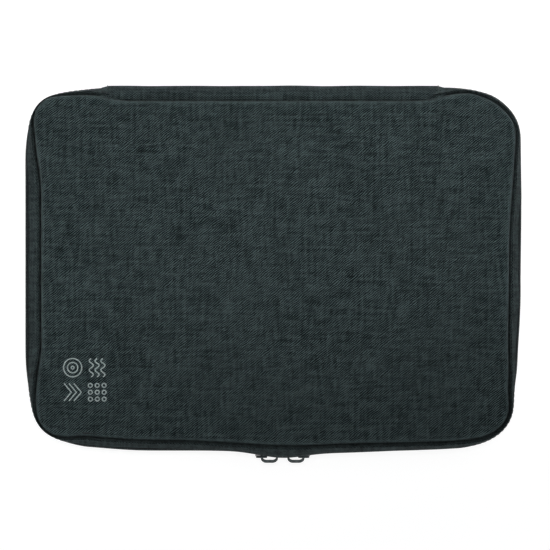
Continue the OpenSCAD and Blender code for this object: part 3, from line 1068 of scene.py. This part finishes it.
def spine_profile():
    """Out and height of the spine strip's outer face from the rear seam over the fold to the front seam."""
    place = Place(0.0, HALF_W, 0.0, 1.0, 0.0)
    proud = SPINE_OUT - HALF_W - 0.0003
    sides = {}
    for half in (REAR, FRONT):
        sides[half] = []
        for t in GUSSET_STEPS:
            inward, height = gusset_face(seam_in(half, place) - PANEL_ROOM, t, 2.6)
            sides[half].append((proud * ease(1.0 - t, 0.0, 0.30) - inward, level(half, height)))
    steps = 12
    fold = [(proud, LIP + (THICK - 2 * LIP) * k / steps) for k in range(1, steps)]
    return sides[REAR] + fold + sides[FRONT][::-1]


def spine_lift(x, z):
    """The strip ripples a little along the spine and is pressed flat at its two ends."""
    ends = ease(SPINE_END - abs(x), 0.0, 0.0035)
    wave = 0.00022 * noise.noise(Vector((x * 60.0, z * 90.0, 5.0))) * ends
    return ends, wave - 0.0009 * (1.0 - ends)


def make_spine():
    """One folded strip of twill over both halves' spine sides."""
    profile = spine_profile()
    count = 84
    upper = []
    lower = []
    for out, z in profile:
        row = []
        under = []
        for i in range(count, -1, -1):
            x = -SPINE_END + 2 * SPINE_END * i / count
            ends, lift = spine_lift(x, z)
            y = HALF_W + out + lift
            row.append(Vector((x, y, z)))
            under.append(Vector((x, y - SPINE_CLOTH * (0.25 + 0.75 * ends), z)))
        upper.append(row)
        lower.append(under)
    cut = Cut()
    slab(cut, upper, lower)
    for i in range(len(upper)):
        for j in (0, 1, count - 1, count):
            cut.wear[i * (count + 1) + j] = SPINE_WEAR
    piece = cut.make("spine_strip_twill", outer_twill())
    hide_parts("rear_spine", "front_spine")
    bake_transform(piece)
    for half in (REAR, FRONT):
        rows = []
        for x in (SPINE_INSET - SPINE_END, SPINE_END - SPINE_INSET):
            path = []
            for out, z in profile:
                if SEAM + 0.003 < level(half, z) < MIDDLE - 0.004:
                    path.append((x, HALF_W + out + spine_lift(x, z)[1], z))
            rows.append((path, [(0.0, 1.0, 0.0)] * len(path)))
        stitches(half.side + "_spine_stitches", half.body, "outer_fabric", rows)


# Zip

# Flat width of a tape, and the tape's own corded edge at the coil: how proud it is, its ridge and its width
CORD_PROUD = 0.0001
CORD_RIDGE = 0.0004
CORD_WIDTH = 0.0012

# How far the coil is drawn back between the sliders, and the distances from where they meet at which that
# begins and ends to ease off
PARTED = 0.00185
PARTED_NEAR = 0.00335
PARTED_FAR = 0.00835

# How far the teeth of a half reach past the middle, the room beyond the sliders' last places, and the core
# cord's radius
TEETH_PAST = 0.0027
RUN_ROOM = 0.0006
CORE = 0.00055


def on_front_run(place):
    """Whether a place lies on the straight front run, where the sliders slide."""
    return place.ny < -0.9


def tape_section(place):
    """One half of the woven zip tape, with a corded edge at the coil."""
    low, high = (corner.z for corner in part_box("rear_zip_tape"))
    cloth = sizes().tape
    face = ZIP_FACE - HALF_W + zip_out(place)
    heights = ((0.0, low), (0.0, low + 0.004), (0.0, high - CORD_WIDTH), (CORD_PROUD, high - CORD_RIDGE),
               (0.0, high))
    outer = [(face + proud, height) for proud, height in heights]
    inner = [(face - cloth - proud, height) for proud, height in heights[::-1]]
    return outer + inner


def make_tape(half):
    """Woven zip tape behind the lips."""
    places = zip_places()
    cut = Cut()
    sweep(cut, places, tape_section, half)
    piece = cut.make(half.side + "_zip_tape_weave", zip_cloth())
    settle(piece, half.body, "zip_tape", half.side + "_zip_tape")


def parting(place):
    """How far the coil is drawn back from the middle between the two sliders."""
    if not on_front_run(place):
        return 0.0
    return PARTED * (1.0 - ease(abs(place.x - MEET), PARTED_NEAR, PARTED_FAR))


def travel(joint):
    """How far a slider slides from where the two meet."""
    return next(max(j["range_m"]) for j in frame["joints"] if j["name"] == joint)


def make_coil(half):
    """Half of the zip: a flattened spiral of nylon wire round a core cord, parted where the sliders pass."""
    size = sizes()
    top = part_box("rear_zip_chain")[1].z
    thick = size.coil_thick / 2
    depth = (ZIP_FACE - HALF_W) - size.tape - thick
    reach = top - (MIDDLE - TEETH_PAST)
    middle = top - reach / 2
    wire = size.coil_wire
    phase = 0.0 if half is REAR else math.pi
    steps = 12

    def spiral(cut, places):
        path = []
        radii = []
        for place in places:
            angle = 2.0 * math.pi * place.along / size.coil_pitch + phase
            height = middle + (reach / 2 - wire) * math.cos(angle) - parting(place)
            out = depth + zip_out(place) + (thick - wire) * math.sin(angle)
            path.append(point_at(half, place, out, height))
            radii.append(wire * (1.0 + 0.18 * max(0.0, math.cos(angle))))
        core = []
        for place in places[::steps] + places[-1:]:
            height = middle - reach * 0.18 - parting(place)
            core.append(point_at(half, place, depth + zip_out(place), height))
        tube(cut, path, radii, 6)
        tube(cut, core, [CORE] * len(core), 8)

    places = zip_places(size.coil_pitch / steps)
    ends = (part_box("left_slider")[0].x - travel("left_slider_slide") - RUN_ROOM, MEET,
            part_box("right_slider")[1].x + travel("right_slider_slide") + RUN_ROOM)
    front = [(i, p.x) for i, p in enumerate(places) if on_front_run(p)]
    first, second, third = (next(i for i, x in front if x >= end) for end in ends)
    still = Cut()
    spiral(still, places[:first + 1])
    spiral(still, places[third:])
    piece = still.make(half.side + "_zip_coil", nylon_finish())
    settle(piece, half.body, "zip_chain", half.side + "_zip_chain")
    for side, start, stop in (("left", first, second), ("right", second, third)):
        run = Cut()
        spiral(run, places[start:stop + 1])
        moving = run.make(half.side + "_zip_coil_" + side, nylon_finish())
        settle(moving, half.body, "zip_chain")
        level(half, top - reach)
        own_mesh(moving)


# How much fuller the bridges are cast than their solids, from just outside the pullers on
BRIDGE_FULL = 0.00022
BRIDGE_START = 0.0002
BRIDGE_EASE = 0.0010


def cast_piece(side, kind, rounding):
    """A slider or puller with its edges rounded, as a die-cast piece has them, and its bridge cast full."""
    node = side + "_" + kind
    mesh = frame["nodes"][node].data.copy()
    made = bmesh.new()
    made.from_mesh(mesh)
    bmesh.ops.remove_doubles(made, verts=made.verts, dist=0.00001)
    bmesh.ops.dissolve_limit(made, angle_limit=math.radians(1.0), verts=made.verts, edges=made.edges)
    made.normal_update()
    bar = -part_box("left_puller")[0].y + BRIDGE_START
    for v in made.verts:
        outwards = Vector((v.normal.x, v.normal.y, 0.0)).normalized()
        v.co += outwards * BRIDGE_FULL * ease(-v.co.y, bar, bar + BRIDGE_EASE)
    made.to_mesh(mesh)
    made.free()
    mesh.materials.clear()
    mesh.materials.append(metal_finish())
    mesh.polygons.foreach_set("use_smooth", [True] * len(mesh.polygons))
    plain = stand(node + "_plain", mesh)
    bevel = plain.modifiers.new("Rounding", "BEVEL")
    bevel.width = rounding
    bevel.segments = 2
    bevel.limit_method = "ANGLE"
    bevel.angle_limit = math.radians(32)
    bevel.miter_outer = "MITER_ARC"
    plain.modifiers.new("Even shading", "WEIGHTED_NORMAL").weight = 100
    rounded = bpy.data.meshes.new_from_object(plain.evaluated_get(bpy.context.evaluated_depsgraph_get()))
    rounded.name = node + "_cast"
    bpy.data.objects.remove(plain)
    settle(stand(node + "_cast", rounded), side + "_zip_" + kind, "zip_metal", node)


# Inside

def inner_edge(half, inset, margin, front_margin):
    """Edge of an inside layer: its plain inset, or further in where the panel's seam or fall is close."""

    def edge(place):
        keep = margin
        if half is FRONT:
            keep += front_margin * ease(-place.y, 0.015, 0.060)
        return min(-inset, seam_out(half, place) - keep)

    return edge


def under_panel(half, filled, edge):
    """Each point of an inside layer, with its depth inside the edge and the panel's drop over it."""
    rows = []
    for p, depth, place in zip(filled.flat, filled.depth, filled.near):
        drop = panel_drop(half, p.x, p.y, depth + seam_out(half, place) - edge(place))
        rows.append((p, depth, drop))
    return rows


def make_pad(half):
    """Foam between the panel and the lining, crowned and thin at its edge."""
    places, _ = lip_places(0.004)
    low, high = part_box("rear_padding")
    edge = inner_edge(half, HALF_L - high.x, margin=0.003, front_margin=0.014)
    filled = fill(places, edge, rings=(0.0, 0.0008, 0.002, 0.004), spacing=0.006)
    inside = []
    outside = []
    for p, depth, drop in under_panel(half, filled, edge):
        thin = 0.0012 * (1.0 - ease(depth, 0.0, 0.004))
        bottom = min(low.z + 0.0002 + thin + drop, high.z - 0.0002)
        outside.append(Vector((p.x, p.y, level(half, bottom))))
        inside.append(Vector((p.x, p.y, level(half, max(bottom + 0.0002, high.z - 0.00005 - thin)))))
    cut = Cut()
    fill_slab(cut, half, filled, inside, outside)
    piece = cut.make(half.side + "_foam_pad", foam_finish())
    settle(piece, half.body, "foam", half.side + "_padding")


def make_lining(half):
    """Lining over the padding, softly dimpled."""
    places, _ = lip_places()
    low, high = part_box("rear_lining")
    edge = inner_edge(half, HALF_L - high.x, margin=0.0012, front_margin=0.0)
    filled = fill(places, edge, rings=(0.0, 0.002, 0.005), spacing=0.0045)
    inside = []
    outside = []
    for p, depth, drop in under_panel(half, filled, edge):
        dimple = 0.00022 * ripple(p.x, p.y, 45.0, 2.0 if half is REAR else 7.0) * ease(depth, 0.004, 0.02)
        bottom = max(low.z + 0.00005, drop + sizes().fabric + 0.0001)
        inside.append(Vector((p.x, p.y, level(half, bottom + 0.0003 + dimple))))
        outside.append(Vector((p.x, p.y, level(half, bottom))))
    cut = Cut()
    fill_slab(cut, half, filled, inside, outside)
    piece = cut.make(half.side + "_lining_cloth", lining_cloth())
    settle(piece, half.body, "lining", half.side + "_lining")


def make_gusset_lining(half):
    """Lining of the gusset, from under the binding up to the zip."""
    low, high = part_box("rear_gusset_lining")
    face = high.y - HALF_W
    cloth = 0.0005
    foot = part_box("rear_seam_binding")[1].y - HALF_W - 0.0006
    deep = SEAM + sizes().seam_dip + cloth

    def section(place):
        wave = 0.00025 * ripple(place.x, place.y, 70.0, 4.0)
        start = face + zip_out(place)
        end = seam_out(half, place) - 0.0013
        toe = min(foot, end - 0.0006)
        outer = [(toe, low.z + 0.0001), (end, low.z + 0.0004), (end, deep - 0.0012)]
        for k in range(8):
            t = 1.0 - k / 7
            out = start + (end - start) * t ** 1.3 + wave * math.sin(math.pi * t)
            outer.append((out, high.z + (deep - high.z) * t))
        inner = [(out - cloth, height) for out, height in outer[:1:-1]]
        return outer + inner + [(end - cloth, low.z + 0.0004 + cloth), (toe, low.z + 0.0001 + cloth)]

    places = zip_places()
    cut = Cut()
    sweep(cut, places, section, half)
    piece = cut.make(half.side + "_gusset_lining_cloth", lining_cloth())
    settle(piece, half.body, "lining", half.side + "_gusset_lining")


def make_binding(half):
    """Ribbed tape folded over the inside seam, with its row of stitches."""
    places, total = lip_places()
    low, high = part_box("rear_seam_binding")
    outer = high.y - HALF_W
    width = 0.008
    inner = outer - width
    bottom = low.z
    top = high.z
    shoulder = 0.0008

    def section(place):
        wave = 0.00018 * ripple(place.x, place.y, 90.0, 6.0)
        points = [(inner + 0.0004, bottom + 0.00015), (inner, bottom + 0.0006),
                  (inner + 0.0002, top - 0.0005), (inner + shoulder, top - 0.0001)]
        for k in range(5, 0, -1):
            share = k / 6
            out = outer - shoulder - (width - 2 * shoulder) * share
            points.append((out, top + wave + 0.0001 * math.sin(math.pi * share)))
        return points + [(outer - shoulder, top - 0.0001), (outer - 0.0002, top - 0.0004),
                         (outer, bottom + 0.0006), (outer - 0.0003, bottom + 0.0002)]

    cut = Cut()
    sweep(cut, places, section, half, total, clockwise=True)
    piece = cut.make(half.side + "_seam_binding_tape", binding_cloth())
    settle(piece, half.body, "binding", half.side + "_seam_binding")
    path = [point_at(half, place, inner + 0.0016, top + 0.00003) for place in places + places[:1]]
    outs = [(0.0, 0.0, 1.0 if half is REAR else -1.0)] * len(path)
    stitches(half.side + "_binding_stitches", half.body, "binding", [(path, outs)])


# The cable loops: the elastic's thickness, its length along them, their number and radius, a tack's width,
# the distance between two tacks and where the first one lies
ELASTIC_CLOTH = 0.0012
LOOPS = 4
LOOP_RADIUS = 0.0175
TACK = 0.006
LOOP_PITCH = (2 * ELASTIC_END - TACK) / LOOPS
FIRST_TACK = TACK / 2 - ELASTIC_END


def elastic_height(y):
    """Middle of the elastic's thickness above the outer face: flat at its tacks, arched between them."""
    flat = FLOOR + ELASTIC_CLOTH / 2 + 0.00005
    first = FIRST_TACK + LOOP_PITCH / 2
    nearest = min(LOOPS - 1, max(0, round((y - first) / LOOP_PITCH)))
    away = (LOOP_RADIUS - ELASTIC_CLOTH / 2) ** 2 - (y - first - nearest * LOOP_PITCH) ** 2
    if away <= 0.0:
        return flat
    arch = ELASTIC_TOP - LOOP_RADIUS + math.sqrt(away)
    soften = 0.0005
    gap = max(0.0, soften - abs(arch - flat)) / soften
    return max(arch, flat) + gap * gap * soften / 4


def make_elastic(row):
    """A row of four cable loops in one ribbed elastic, tacked down between them."""
    node = row + "_cable_elastic"
    low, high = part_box(node)
    middle = (low.x + high.x) / 2
    half_width = (high.x - low.x) / 2
    rows = 220
    columns = 12
    steepest = 3.0
    upper = []
    lower = []
    for i in range(rows + 1):
        y = -ELASTIC_END + 2 * ELASTIC_END * i / rows
        here = elastic_height(y)
        slope = (elastic_height(y + 0.0001) - elastic_height(y - 0.0001)) / 0.0002
        slope = max(-steepest, min(steepest, slope))
        length = math.sqrt(1.0 + slope * slope)
        top_row = []
        low_row = []
        for j in range(columns + 1):
            share = 2.0 * j / columns - 1.0
            thin = ELASTIC_CLOTH / 2 * (1.0 - 0.45 * abs(share) ** 10)
            x = middle + half_width * share
            top_row.append(Vector((x, y - slope / length * thin, here + thin / length)))
            low_row.append(Vector((x, y + slope / length * thin, here - thin / length)))
        upper.append(top_row)
        lower.append(low_row)
    cut = Cut()
    slab(cut, upper, lower)
    piece = cut.make(node + "_rib", elastic_cloth())
    settle(piece, "base", "elastic", node)

    # Each tack is two zigzag rows side by side
    zigs = 22
    zig = 0.0005
    apart = 0.0011
    reach = half_width - 0.0012
    tacks = []
    for k in range(LOOPS + 1):
        for shift in (-apart, apart):
            y = FIRST_TACK + k * LOOP_PITCH + shift
            height = elastic_height(y) + ELASTIC_CLOTH / 2
            path = []
            for n in range(zigs + 1):
                x = middle - reach + 2 * reach * n / zigs
                path.append((x, y + (zig if n % 2 else -zig), height))
            tacks.append((path, [(0.0, 0.0, 1.0)] * len(path)))
    stitches(row + "_cable_bar_tacks", "base", "elastic", tacks, pitch=0.0011, proud=0.0001, r=0.00018)


# The net pocket: the yarn's thickness, the share of its outline that the yarns cover, its sag and its margin
NET_YARN = 0.00053
NET_SAG = 0.0011
NET_MARGIN = 0.002


def net_mesh(low, high):
    """Knotted net of six-sided cells, which sags most towards its mouth."""
    cell = sizes().net_cell
    left = low.x + NET_MARGIN
    right = high.x - NET_MARGIN
    front = low.y + NET_MARGIN
    back = high.y - NET_MARGIN
    columns = int((right - left) / (cell * 0.87))
    rows = int((back - front) / cell)
    step_x = (right - left) / columns
    step_y = (back - front) / rows
    made = bmesh.new()
    spots = {}

    def net_z(x, y):
        span = math.sin(math.pi * (y - front) / (back - front))
        mouth = 0.35 + 0.65 * ease(x, left, right)
        along = math.sin(math.pi * min(1.0, (x - left) / (right - left) * 1.02))
        return (low.z + high.z) / 2 - max(0.0, NET_SAG * span * mouth * along)

    def knot(x, y):
        key = (round(x * 1e6), round(y * 1e6))
        if key not in spots:
            x = min(right, max(left, x))
            y = min(back, max(front, y))
            spots[key] = made.verts.new((x, y, net_z(x, y)))
        return spots[key]

    third = step_x / 3
    around = ((-2, 0.0), (-1, -0.5), (1, -0.5), (2, 0.0), (1, 0.5), (-1, 0.5))
    for i in range(columns):
        for j in range(rows):
            x = left + (i + 0.5) * step_x
            y = front + (j + 0.5 + (0.5 if i % 2 else 0.0)) * step_y
            if y + step_y / 2 > back + step_y * 0.1:
                continue
            ring = [knot(x + thirds * third, y + share * step_y) for thirds, share in around]
            if len(set(ring)) == len(around):
                made.faces.new(ring)
    bmesh.ops.wireframe(made, faces=made.faces, thickness=NET_YARN, use_boundary=True, use_even_offset=True,
                        use_replace=True)
    mesh = bpy.data.meshes.new("mesh_pocket_net")
    made.to_mesh(mesh)
    made.free()
    layer = mesh.uv_layers.new(name="weave")
    for loop in mesh.loops:
        p = mesh.vertices[loop.vertex_index].co
        layer.data[loop.index].uv = (p.x, p.y)
    mesh.materials.append(nylon_finish())
    return mesh


def band(cut, start, stop, width, bottom, top, wave):
    """A flat tape with soft edges along a straight line, its face towards the inside of the pouch."""
    way = (stop - start).normalized()
    side = Vector((-way.y, way.x, 0.0))
    steps = 60
    shares = (1.0, 0.93, 0.8, 0.4, 0.0, -0.4, -0.8, -0.93, -1.0)
    upper = []
    lower = []
    for i in range(steps + 1):
        p = start.lerp(stop, i / steps)
        lift = wave * ripple(p.x, p.y, 80.0, 8.0)
        top_row = []
        low_row = []
        for share in shares:
            spot = p + side * (width / 2 * share)
            thin = 0.28 * abs(share) ** 12 * (top - bottom)
            top_row.append(Vector((spot.x, spot.y, top - thin)))
            low_row.append(Vector((spot.x, spot.y, bottom + thin + lift)))
        upper.append(top_row)
        lower.append(low_row)
    slab(cut, upper, lower)


def make_pocket():
    """The net pocket on the lid: knotted net, its elastic hem at the mouth and the binding that holds it."""
    low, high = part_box("mesh_pocket")
    net = settle(stand("mesh_pocket_net", net_mesh(low, high)), "lid", "mesh", "mesh_pocket")

    hem_low, hem_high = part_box("mesh_pocket_hem")
    hem = Cut()
    half = 0.004
    band(hem, Vector((hem_low.x + half, hem_low.y, 0.0)), Vector((hem_low.x + half, hem_high.y, 0.0)),
         hem_high.x - hem_low.x, hem_low.z, hem_high.z, wave=0.00025)
    hem_piece = hem.make("mesh_pocket_hem_elastic", elastic_cloth())
    settle(hem_piece, "lid", "elastic", "mesh_pocket_hem")

    # The binding runs round three sides and laps over itself at its two corners
    tape_low, tape_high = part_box("mesh_pocket_binding")
    left = tape_low.x + half
    front = tape_low.y + half
    back = tape_high.y - half
    mouth = tape_high.x
    route = [Vector((x, y, 0.0)) for x, y in ((mouth, front), (left, front), (left, back), (mouth, back))]
    tape = Cut()
    for k in range(3):
        lap = (route[k + 1] - route[k]).normalized() * half
        start = route[k] - lap if k > 0 else route[k]
        stop = route[k + 1] + lap if k < 2 else route[k + 1]
        band(tape, start, stop, 2 * half, tape_low.z, tape_high.z, wave=0.0001)
    tape_piece = tape.make("mesh_pocket_binding_tape", binding_cloth())
    settle(tape_piece, "lid", "binding", "mesh_pocket_binding")

    lift = 0.00003
    inner = half - 0.0015
    loop = [(mouth, front + inner), (left + inner, front + inner), (left + inner, back - inner),
            (mouth, back - inner)]
    lines = [(a, b, tape_low.z) for a, b in zip(loop, loop[1:])]
    for x in (hem_low.x + 0.0016, hem_high.x - 0.0016):
        lines.append(((x, hem_low.y + 0.001), (x, hem_high.y - 0.001), hem_low.z))
    rows = [([(*a, z - lift), (*b, z - lift)], [(0.0, 0.0, -1.0)] * 2) for a, b, z in lines]
    seams = stitches("mesh_pocket_stitches", "lid", "mesh", rows)


# Print

# The block's corner on the panel, the size of a tile, the distance between tiles and the width of a line
PRINT_CORNER = Vector((-0.1010, -0.0640))
TILE = 0.0098
TILE_PITCH = 0.0118
LINE = 0.0006
MM = 0.001


def stroke(cut, line, drape):
    """A printed line of even width, laid on the panel."""
    points = [Vector(p) for p in line]
    closed = (points[0] - points[-1]).length < 1e-7
    fine = []
    for a, b in zip(points, points[1:]):
        count = max(1, int((b - a).length / 0.0007))
        fine += [a.lerp(b, k / count) for k in range(count)]
    if not closed:
        fine.append(points[-1])
    total = len(fine)
    rows = []
    for i, p in enumerate(fine):
        before = fine[(i - 1) % total] if closed else fine[max(0, i - 1)]
        after = fine[(i + 1) % total] if closed else fine[min(total - 1, i + 1)]
        way = (after - before).normalized()
        side = Vector((-way.y, way.x)) * (LINE / 2)
        rows.append(cut.add([drape(p + side), drape(p - side)]))
    pairs = list(zip(rows, rows[1:]))
    if closed:
        pairs.append((rows[-1], rows[0]))
    for (a, b), (c, d) in pairs:
        weave = [(cut.points[k][0], cut.points[k][1]) for k in (a, b, d, c)]
        cut.face([a, b, d, c], weave)


def ring_line(x, y, r, count):
    """Points round a circle."""
    turns = [2.0 * math.pi * (k / count) for k in range(count + 1)]
    return [(x + r * math.cos(turn), y + r * math.sin(turn)) for turn in turns]


def make_print(panel):
    """A small generic block of line work in millimetres: rings, waves, chevrons and a lattice, two by two."""
    tree = BVHTree.FromObject(panel, bpy.context.evaluated_depsgraph_get())
    cut = Cut()

    def drape(p):
        hit, _, _, _ = tree.ray_cast(Vector((p.x, p.y, THICK + 0.02)), Vector((0.0, 0.0, -1.0)))
        return Vector((p.x, p.y, hit.z + 0.00007))

    def put(column, row, lines):
        middle = PRINT_CORNER + Vector((column * TILE_PITCH + TILE / 2, row * TILE_PITCH + TILE / 2))
        for points in lines:
            stroke(cut, [middle + Vector((x * MM, y * MM)) for x, y in points], drape)

    put(0, 1, [ring_line(0, 0, 4.4, 40), ring_line(0, 0, 2.5, 30), ring_line(0, 0, 0.7, 14)])
    waves = []
    for shift in (-2.8, 0.0, 2.8):
        waves.append([(shift + math.sin(math.pi * k / 8), -4.4 + 8.8 * k / 32) for k in range(33)])
    put(1, 1, waves)
    put(0, 0, [[(-4.2 + s, -4.2), (-0.6 + s, 0.0), (-4.2 + s, 4.2)] for s in (0.0, 2.4, 4.8)])
    put(1, 0, [ring_line(x, y, 0.95, 16) for x in (-3.3, 0.0, 3.3) for y in (-3.3, 0.0, 3.3)])
    settle(cut.make("front_panel_print", ink_finish()), "lid", "outer_fabric")


# Studio

# Grey of the floor for the light that it throws back on the pouch, its tone where it is seen, which the lamps
# expose to plain white outside the pouch's shadow, and the share of an even white glow in what is seen
FLOOR_GREY = 0.86
SEEN_TONE = 2.2
GLOW_SHARE = 0.88

# Name, place, aim, width, length, watts and spread; the key is a gridded softbox that fades towards the zip
LAMPS = (
    ("Key", (-0.02, 0.33, 1.35), (0.0, 0.235, THICK), 0.8, 0.56, 0.72, 10.0),
    ("Top", (0.6, 0.1, 2.1), (0.0, 0.0, 0.0), 1.2, 1.2, 9.5, 180.0),
)

# The camera's distance, its sensor, the picture's width in pixels, what a pixel covers and the shift in them
CAMERA_AWAY = 1.6
SENSOR = 36.0
FRAME_PIXELS = 550
PIXEL = 0.0004865
SHIFT = (2.0, -5.9)


def grey(value):
    return (value, value, value, 1.0)


def seen_ray(w):
    """1 for what is seen straight, mirrored or through something, 0 for light that falls on the pouch."""
    path = w.add("ShaderNodeLightPath").outputs
    mirrored = w.math("MAXIMUM", path["Is Glossy Ray"], path["Is Transmission Ray"])
    return w.math("MAXIMUM", path["Is Camera Ray"], mirrored)


def make_floor():
    """White floor that keeps the pouch's shadow."""
    reach = 6.0
    mesh = bpy.data.meshes.new("studio_floor")
    corners = [(-reach, -reach, 0.0), (reach, -reach, 0.0), (reach, reach, 0.0), (-reach, reach, 0.0)]
    mesh.from_pydata(corners, [], [(0, 1, 2, 3)])
    made = bpy.data.materials.new("White floor")
    made.use_nodes = True
    made.node_tree.nodes.clear()
    w = Wiring(made.node_tree)
    seen = seen_ray(w)
    paper = w.add("ShaderNodeBsdfDiffuse", Color=w.blend(seen, grey(FLOOR_GREY), grey(SEEN_TONE)))
    glow = w.add("ShaderNodeEmission", Color=grey(1.0), Strength=1.0)
    w.choose(w.math("MULTIPLY", seen, GLOW_SHARE), paper, glow, w.add("ShaderNodeOutputMaterial"))
    mesh.materials.append(made)
    stand("studio_floor", mesh)


def make_studio():
    """White floor, soft overhead light from the spine side and the camera straight above."""
    scene = bpy.context.scene
    scene.view_settings.view_transform = "Standard"
    make_floor()

    world = bpy.data.worlds.new("Studio")
    scene.world = world
    world.use_nodes = True
    world.node_tree.nodes.clear()
    w = Wiring(world.node_tree)
    sky = w.add("ShaderNodeBackground", Color=(0.95, 0.98, 1.0, 1.0), Strength=0.30)
    white = w.add("ShaderNodeBackground", Color=grey(1.0), Strength=1.0)
    w.choose(seen_ray(w), sky, white, w.add("ShaderNodeOutputWorld"))

    for name, spot, aim, width, length, watts, spread in LAMPS:
        lamp = bpy.data.lights.new(name, "AREA")
        lamp.shape = "RECTANGLE"
        lamp.size = width
        lamp.size_y = length
        lamp.energy = watts
        lamp.spread = math.radians(spread)
        holder = stand(name, lamp)
        holder.location = spot
        holder.rotation_euler = (Vector(aim) - Vector(spot)).to_track_quat("-Z", "Y").to_euler()

    camera = bpy.data.cameras.new("Camera")
    camera.sensor_width = SENSOR
    camera.lens = SENSOR * CAMERA_AWAY / (FRAME_PIXELS * PIXEL)
    camera.clip_end = 20.0
    holder = stand("Camera", camera)
    holder.location = (SHIFT[0] * PIXEL, SHIFT[1] * PIXEL, CAMERA_AWAY + MIDDLE)
    scene.camera = holder


# Operators and panel

class POUCH_OT_studio(Operator):
    """Set the white floor, the soft light and the camera"""

    bl_idname = "pouch.studio"
    bl_label = "Studio"

    def execute(self, context):
        make_studio()
        return {"FINISHED"}


class POUCH_OT_padding(Operator):
    """Lay the foam pads of both halves"""

    bl_idname = "pouch.padding"
    bl_label = "Padding"

    def execute(self, context):
        for half in (REAR, FRONT):
            make_pad(half)
        return {"FINISHED"}


class POUCH_OT_shell(Operator):
    """Sew the padded panels and the gussets of both halves"""

    bl_idname = "pouch.shell"
    bl_label = "Panels and gussets"

    def execute(self, context):
        for half in (REAR, FRONT):
            make_panel(half)
            make_gusset(half)
        return {"FINISHED"}


class POUCH_OT_spine(Operator):
    """Fold the spine strip over both halves"""

    bl_idname = "pouch.spine"
    bl_label = "Spine strip"

    def execute(self, context):
        make_spine()
        return {"FINISHED"}


class POUCH_OT_zip(Operator):
    """Wind the zip's coils, lay its tapes and hang its sliders and pullers"""

    bl_idname = "pouch.zip"
    bl_label = "Zip"

    def execute(self, context):
        for half in (REAR, FRONT):
            make_tape(half)
            make_coil(half)
        for side in ("left", "right"):
            cast_piece(side, "slider", rounding=0.00018)
            cast_piece(side, "puller", rounding=0.0002)
        return {"FINISHED"}


class POUCH_OT_lining(Operator):
    """Line both halves and bind their inside seams"""

    bl_idname = "pouch.lining"
    bl_label = "Linings and bindings"

    def execute(self, context):
        for half in (REAR, FRONT):
            make_lining(half)
            make_gusset_lining(half)
            make_binding(half)
        return {"FINISHED"}


class POUCH_OT_loops(Operator):
    """Tack the two rows of elastic cable loops"""

    bl_idname = "pouch.loops"
    bl_label = "Cable loops"

    def execute(self, context):
        for row in ("upper", "lower"):
            make_elastic(row)
        return {"FINISHED"}


class POUCH_OT_pocket(Operator):
    """Knot the net pocket and sew its hem and binding"""

    bl_idname = "pouch.pocket"
    bl_label = "Net pocket"

    def execute(self, context):
        make_pocket()
        return {"FINISHED"}


class POUCH_OT_print(Operator):
    """Print the small line work on the front panel"""

    bl_idname = "pouch.print"
    bl_label = "Print"

    def execute(self, context):
        make_print(bpy.data.objects["front_panel_twill"])
        return {"FINISHED"}


STEPS = (POUCH_OT_studio, POUCH_OT_padding, POUCH_OT_shell, POUCH_OT_spine, POUCH_OT_zip, POUCH_OT_lining,
         POUCH_OT_loops, POUCH_OT_pocket, POUCH_OT_print)


class POUCH_PT_sidebar(Panel):
    """Sizes, colours and steps of the pouch"""

    bl_idname = "POUCH_PT_sidebar"
    bl_label = "Cable Organizer Pouch"
    bl_space_type = "VIEW_3D"
    bl_region_type = "UI"
    bl_category = "Pouch"

    def draw(self, context):
        column = self.layout.column(align=True)
        for step in STEPS:
            column.operator(step.bl_idname)
        for settings in (context.scene.pouch_shape, context.scene.pouch_colours):
            column = self.layout.column()
            for name in settings.__annotations__:
                column.prop(settings, name)


CLASSES = (PouchShape, PouchColours, *STEPS, POUCH_PT_sidebar)


def register():
    for each in CLASSES:
        bpy.utils.register_class(each)
    bpy.types.Scene.pouch_shape = PointerProperty(type=PouchShape)
    bpy.types.Scene.pouch_colours = PointerProperty(type=PouchColours)


def unregister():
    del bpy.types.Scene.pouch_colours
    del bpy.types.Scene.pouch_shape
    for each in reversed(CLASSES):
        bpy.utils.unregister_class(each)


def main():
    register()
    bpy.ops.pouch.studio()
    bpy.ops.pouch.padding()
    bpy.ops.pouch.shell()
    bpy.ops.pouch.spine()
    bpy.ops.pouch.zip()
    bpy.ops.pouch.lining()
    bpy.ops.pouch.loops()
    bpy.ops.pouch.pocket()
    bpy.ops.pouch.print()


if __name__ == "__main__":
    main()
